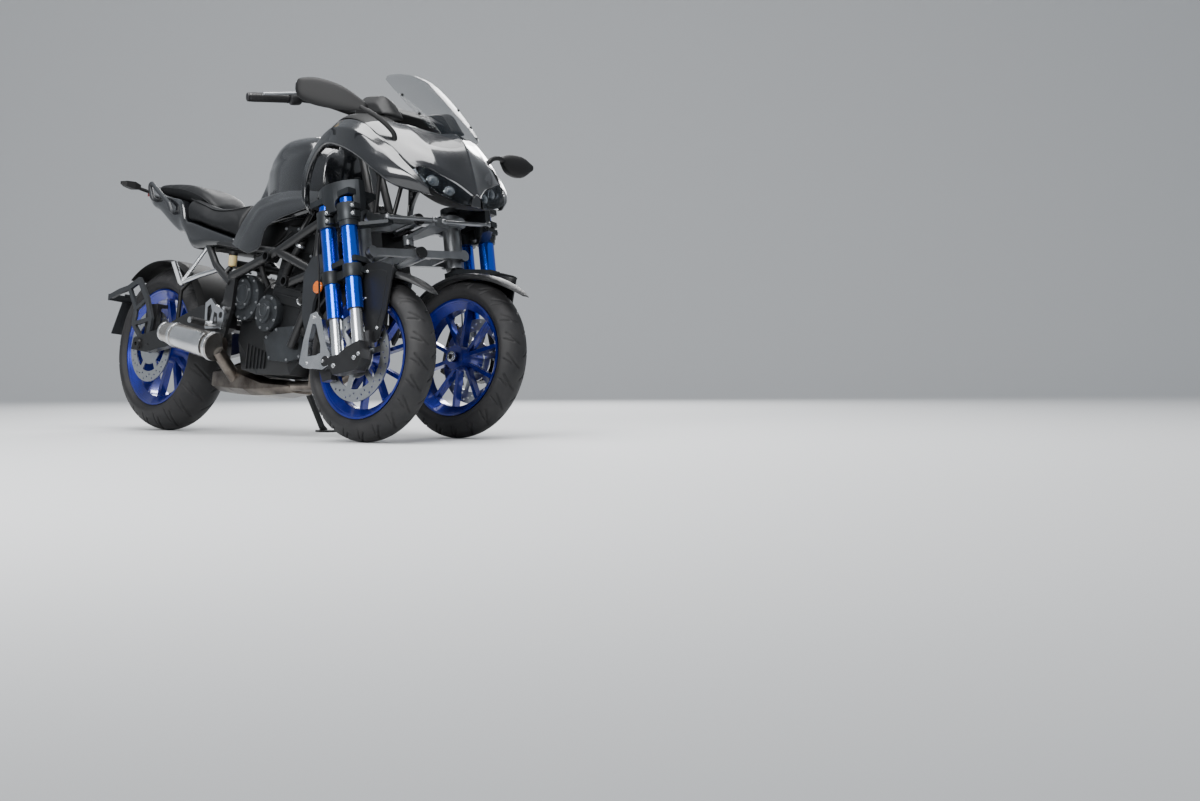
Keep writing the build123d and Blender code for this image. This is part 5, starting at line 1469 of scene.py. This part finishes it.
# Rear details: the ribbed rubbers of the footrests.
for side, tag in SIDES:
    profile = [(11.5, 26), (13.4, 27)] + [(13.4 - (k % 2) * 1.3, 29 + 3 * k) for k in range(17)]
    profile += [(13.0, 82), (10, 86)]
    rubber = lathed("footrest_rubber_" + tag, profile, (538, side * 200, 384), (0, side * 88, 4), parked, 24)
    put(rubber, black_plastic)
    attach(rubber, "chassis")

# The nose's tip and the black tray that closes the lamps from below, and the
# instrument pod between its two cowls, with the display facing the rider.
tip_outline = [(-21, 777), (21, 777), (17, 806), (0, 820), (-17, 806)]
tip = plate_piece("nose_tip", [(tip_outline, 1690, 1741, 6, "x")], parked, 2.0)
put(tip, body_graphite)
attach(tip, "chassis")
front_line = [(1650, -186, 846), (1690, -146, 808), (1722, -66, 780), (1738, 0, 777), (1722, 66, 780),
              (1690, 146, 808), (1650, 186, 846)]
back_line = [(1560, -158, 852), (1590, -118, 814), (1610, -56, 788), (1620, 0, 784), (1610, 56, 788),
             (1590, 118, 814), (1560, 158, 852)]
front_line, back_line = spaced(front_line, 49), spaced(back_line, 49)
rows = []
for k in range(9):
    sag = Vector((0, 0, 3 * math.sin(math.pi * k / 8)))
    rows.append([a.lerp(b, k / 8) - sag for a, b in zip(front_line, back_line)])
tray = net_piece("headlamp_tray", rows, parked)
faced(tray, (0, 0, -1))
moulded(tray, 2.5, 0.8)
put(tray, black_plastic)
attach(tray, "chassis")
COWL = [
    # y, then rear low, rear high, front high, front low as x, z
    (108, (1264, 1084), (1286, 1148), (1390, 1144), (1458, 1074)),
    (112, (1263, 1083), (1285, 1150), (1391, 1146), (1460, 1073)),
    (150, (1260, 1083), (1284, 1164), (1394, 1156), (1456, 1077)),
    (178, (1268, 1085), (1290, 1138), (1391, 1130), (1445, 1080)),
    (184, (1276, 1087), (1296, 1124), (1388, 1116), (1436, 1083)),
]
for side, tag in SIDES:
    rings = []
    for y, *corners in COWL:
        rings.append([Vector((p.x, side * y, p.y)) for p in rounded(corners, 22, 6)])
    rows = swept(rings, 4)
    cowl = net_piece("instrument_cowl_" + tag, rows, parked, ring=True, ends=True)
    put(cowl, black_plastic)
    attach(cowl, "chassis")
pod = plate_piece("instrument_pod", [
    ([(1331, 1076), (1400, 1051), (1431, 1100), (1343, 1141)], -91, 91, 10, "y"),
    ([(1342, 1086), (1400, 1086), (1400, 1108), (1342, 1108)], -126, -84, 4, "y"),
    ([(1342, 1086), (1400, 1086), (1400, 1108), (1342, 1108)], 84, 126, 4, "y"),
], parked, 3.0)
put(pod, black_plastic)
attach(pod, "chassis")
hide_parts("dashboard")
rows = [[Vector((1330.4 + 12 * t / 6, y * 9, 1083 + 50 * t / 6)) for y in range(-8, 9)] for t in range(7)]
display = net_piece("instrument_display", rows, parked)
faced(display, (-1, 0, 0.2))
moulded(display, 1.2, 0.4, inward=False)
put(display, lamp_black)
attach(display, "chassis")

# Ribs cast into the engine's barrel and case, and its oil filter.
ribs = []
for k in range(6):
    t = 0.14 + 0.14 * k
    x0, z0 = 820 + 60 * t + 10, 470 + 195 * t
    x1, z1 = 1005 + 40 * t - 10, 440 + 190 * t
    for y0, y1 in ((-143, -137), (137, 143)):
        ribs.append(([(x0, z0), (x1, z1), (x1 + 1, z1 + 6), (x0 + 1, z0 + 6)], y0, y1, 1.5, "y"))
for k in range(6):
    x = 690 + 22 * k
    ribs.append(([(x, 226), (x + 6, 226), (x + 8, 318 - 6 * k), (x + 2, 318 - 6 * k)], -134, -127, 1.5, "y"))
    ribs.append(([(x + 230, 226), (x + 236, 226), (x + 236, 292), (x + 230, 292)], 127, 134, 1.5, "y"))
ribs = plate_piece("engine_casting_ribs", ribs, parked, 1.2)
put(ribs, engine_black)
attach(ribs, "chassis")
profile = [(30, -14), (34, -6), (36, 0), (36, 50), (33, 56), (22, 58), (18, 54)]
oil_filter = lathed("oil_filter", profile, (1016, 0, 330), (1, 0, -0.1), parked, 40)
put(oil_filter, axle_black)
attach(oil_filter, "chassis")

low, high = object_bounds()
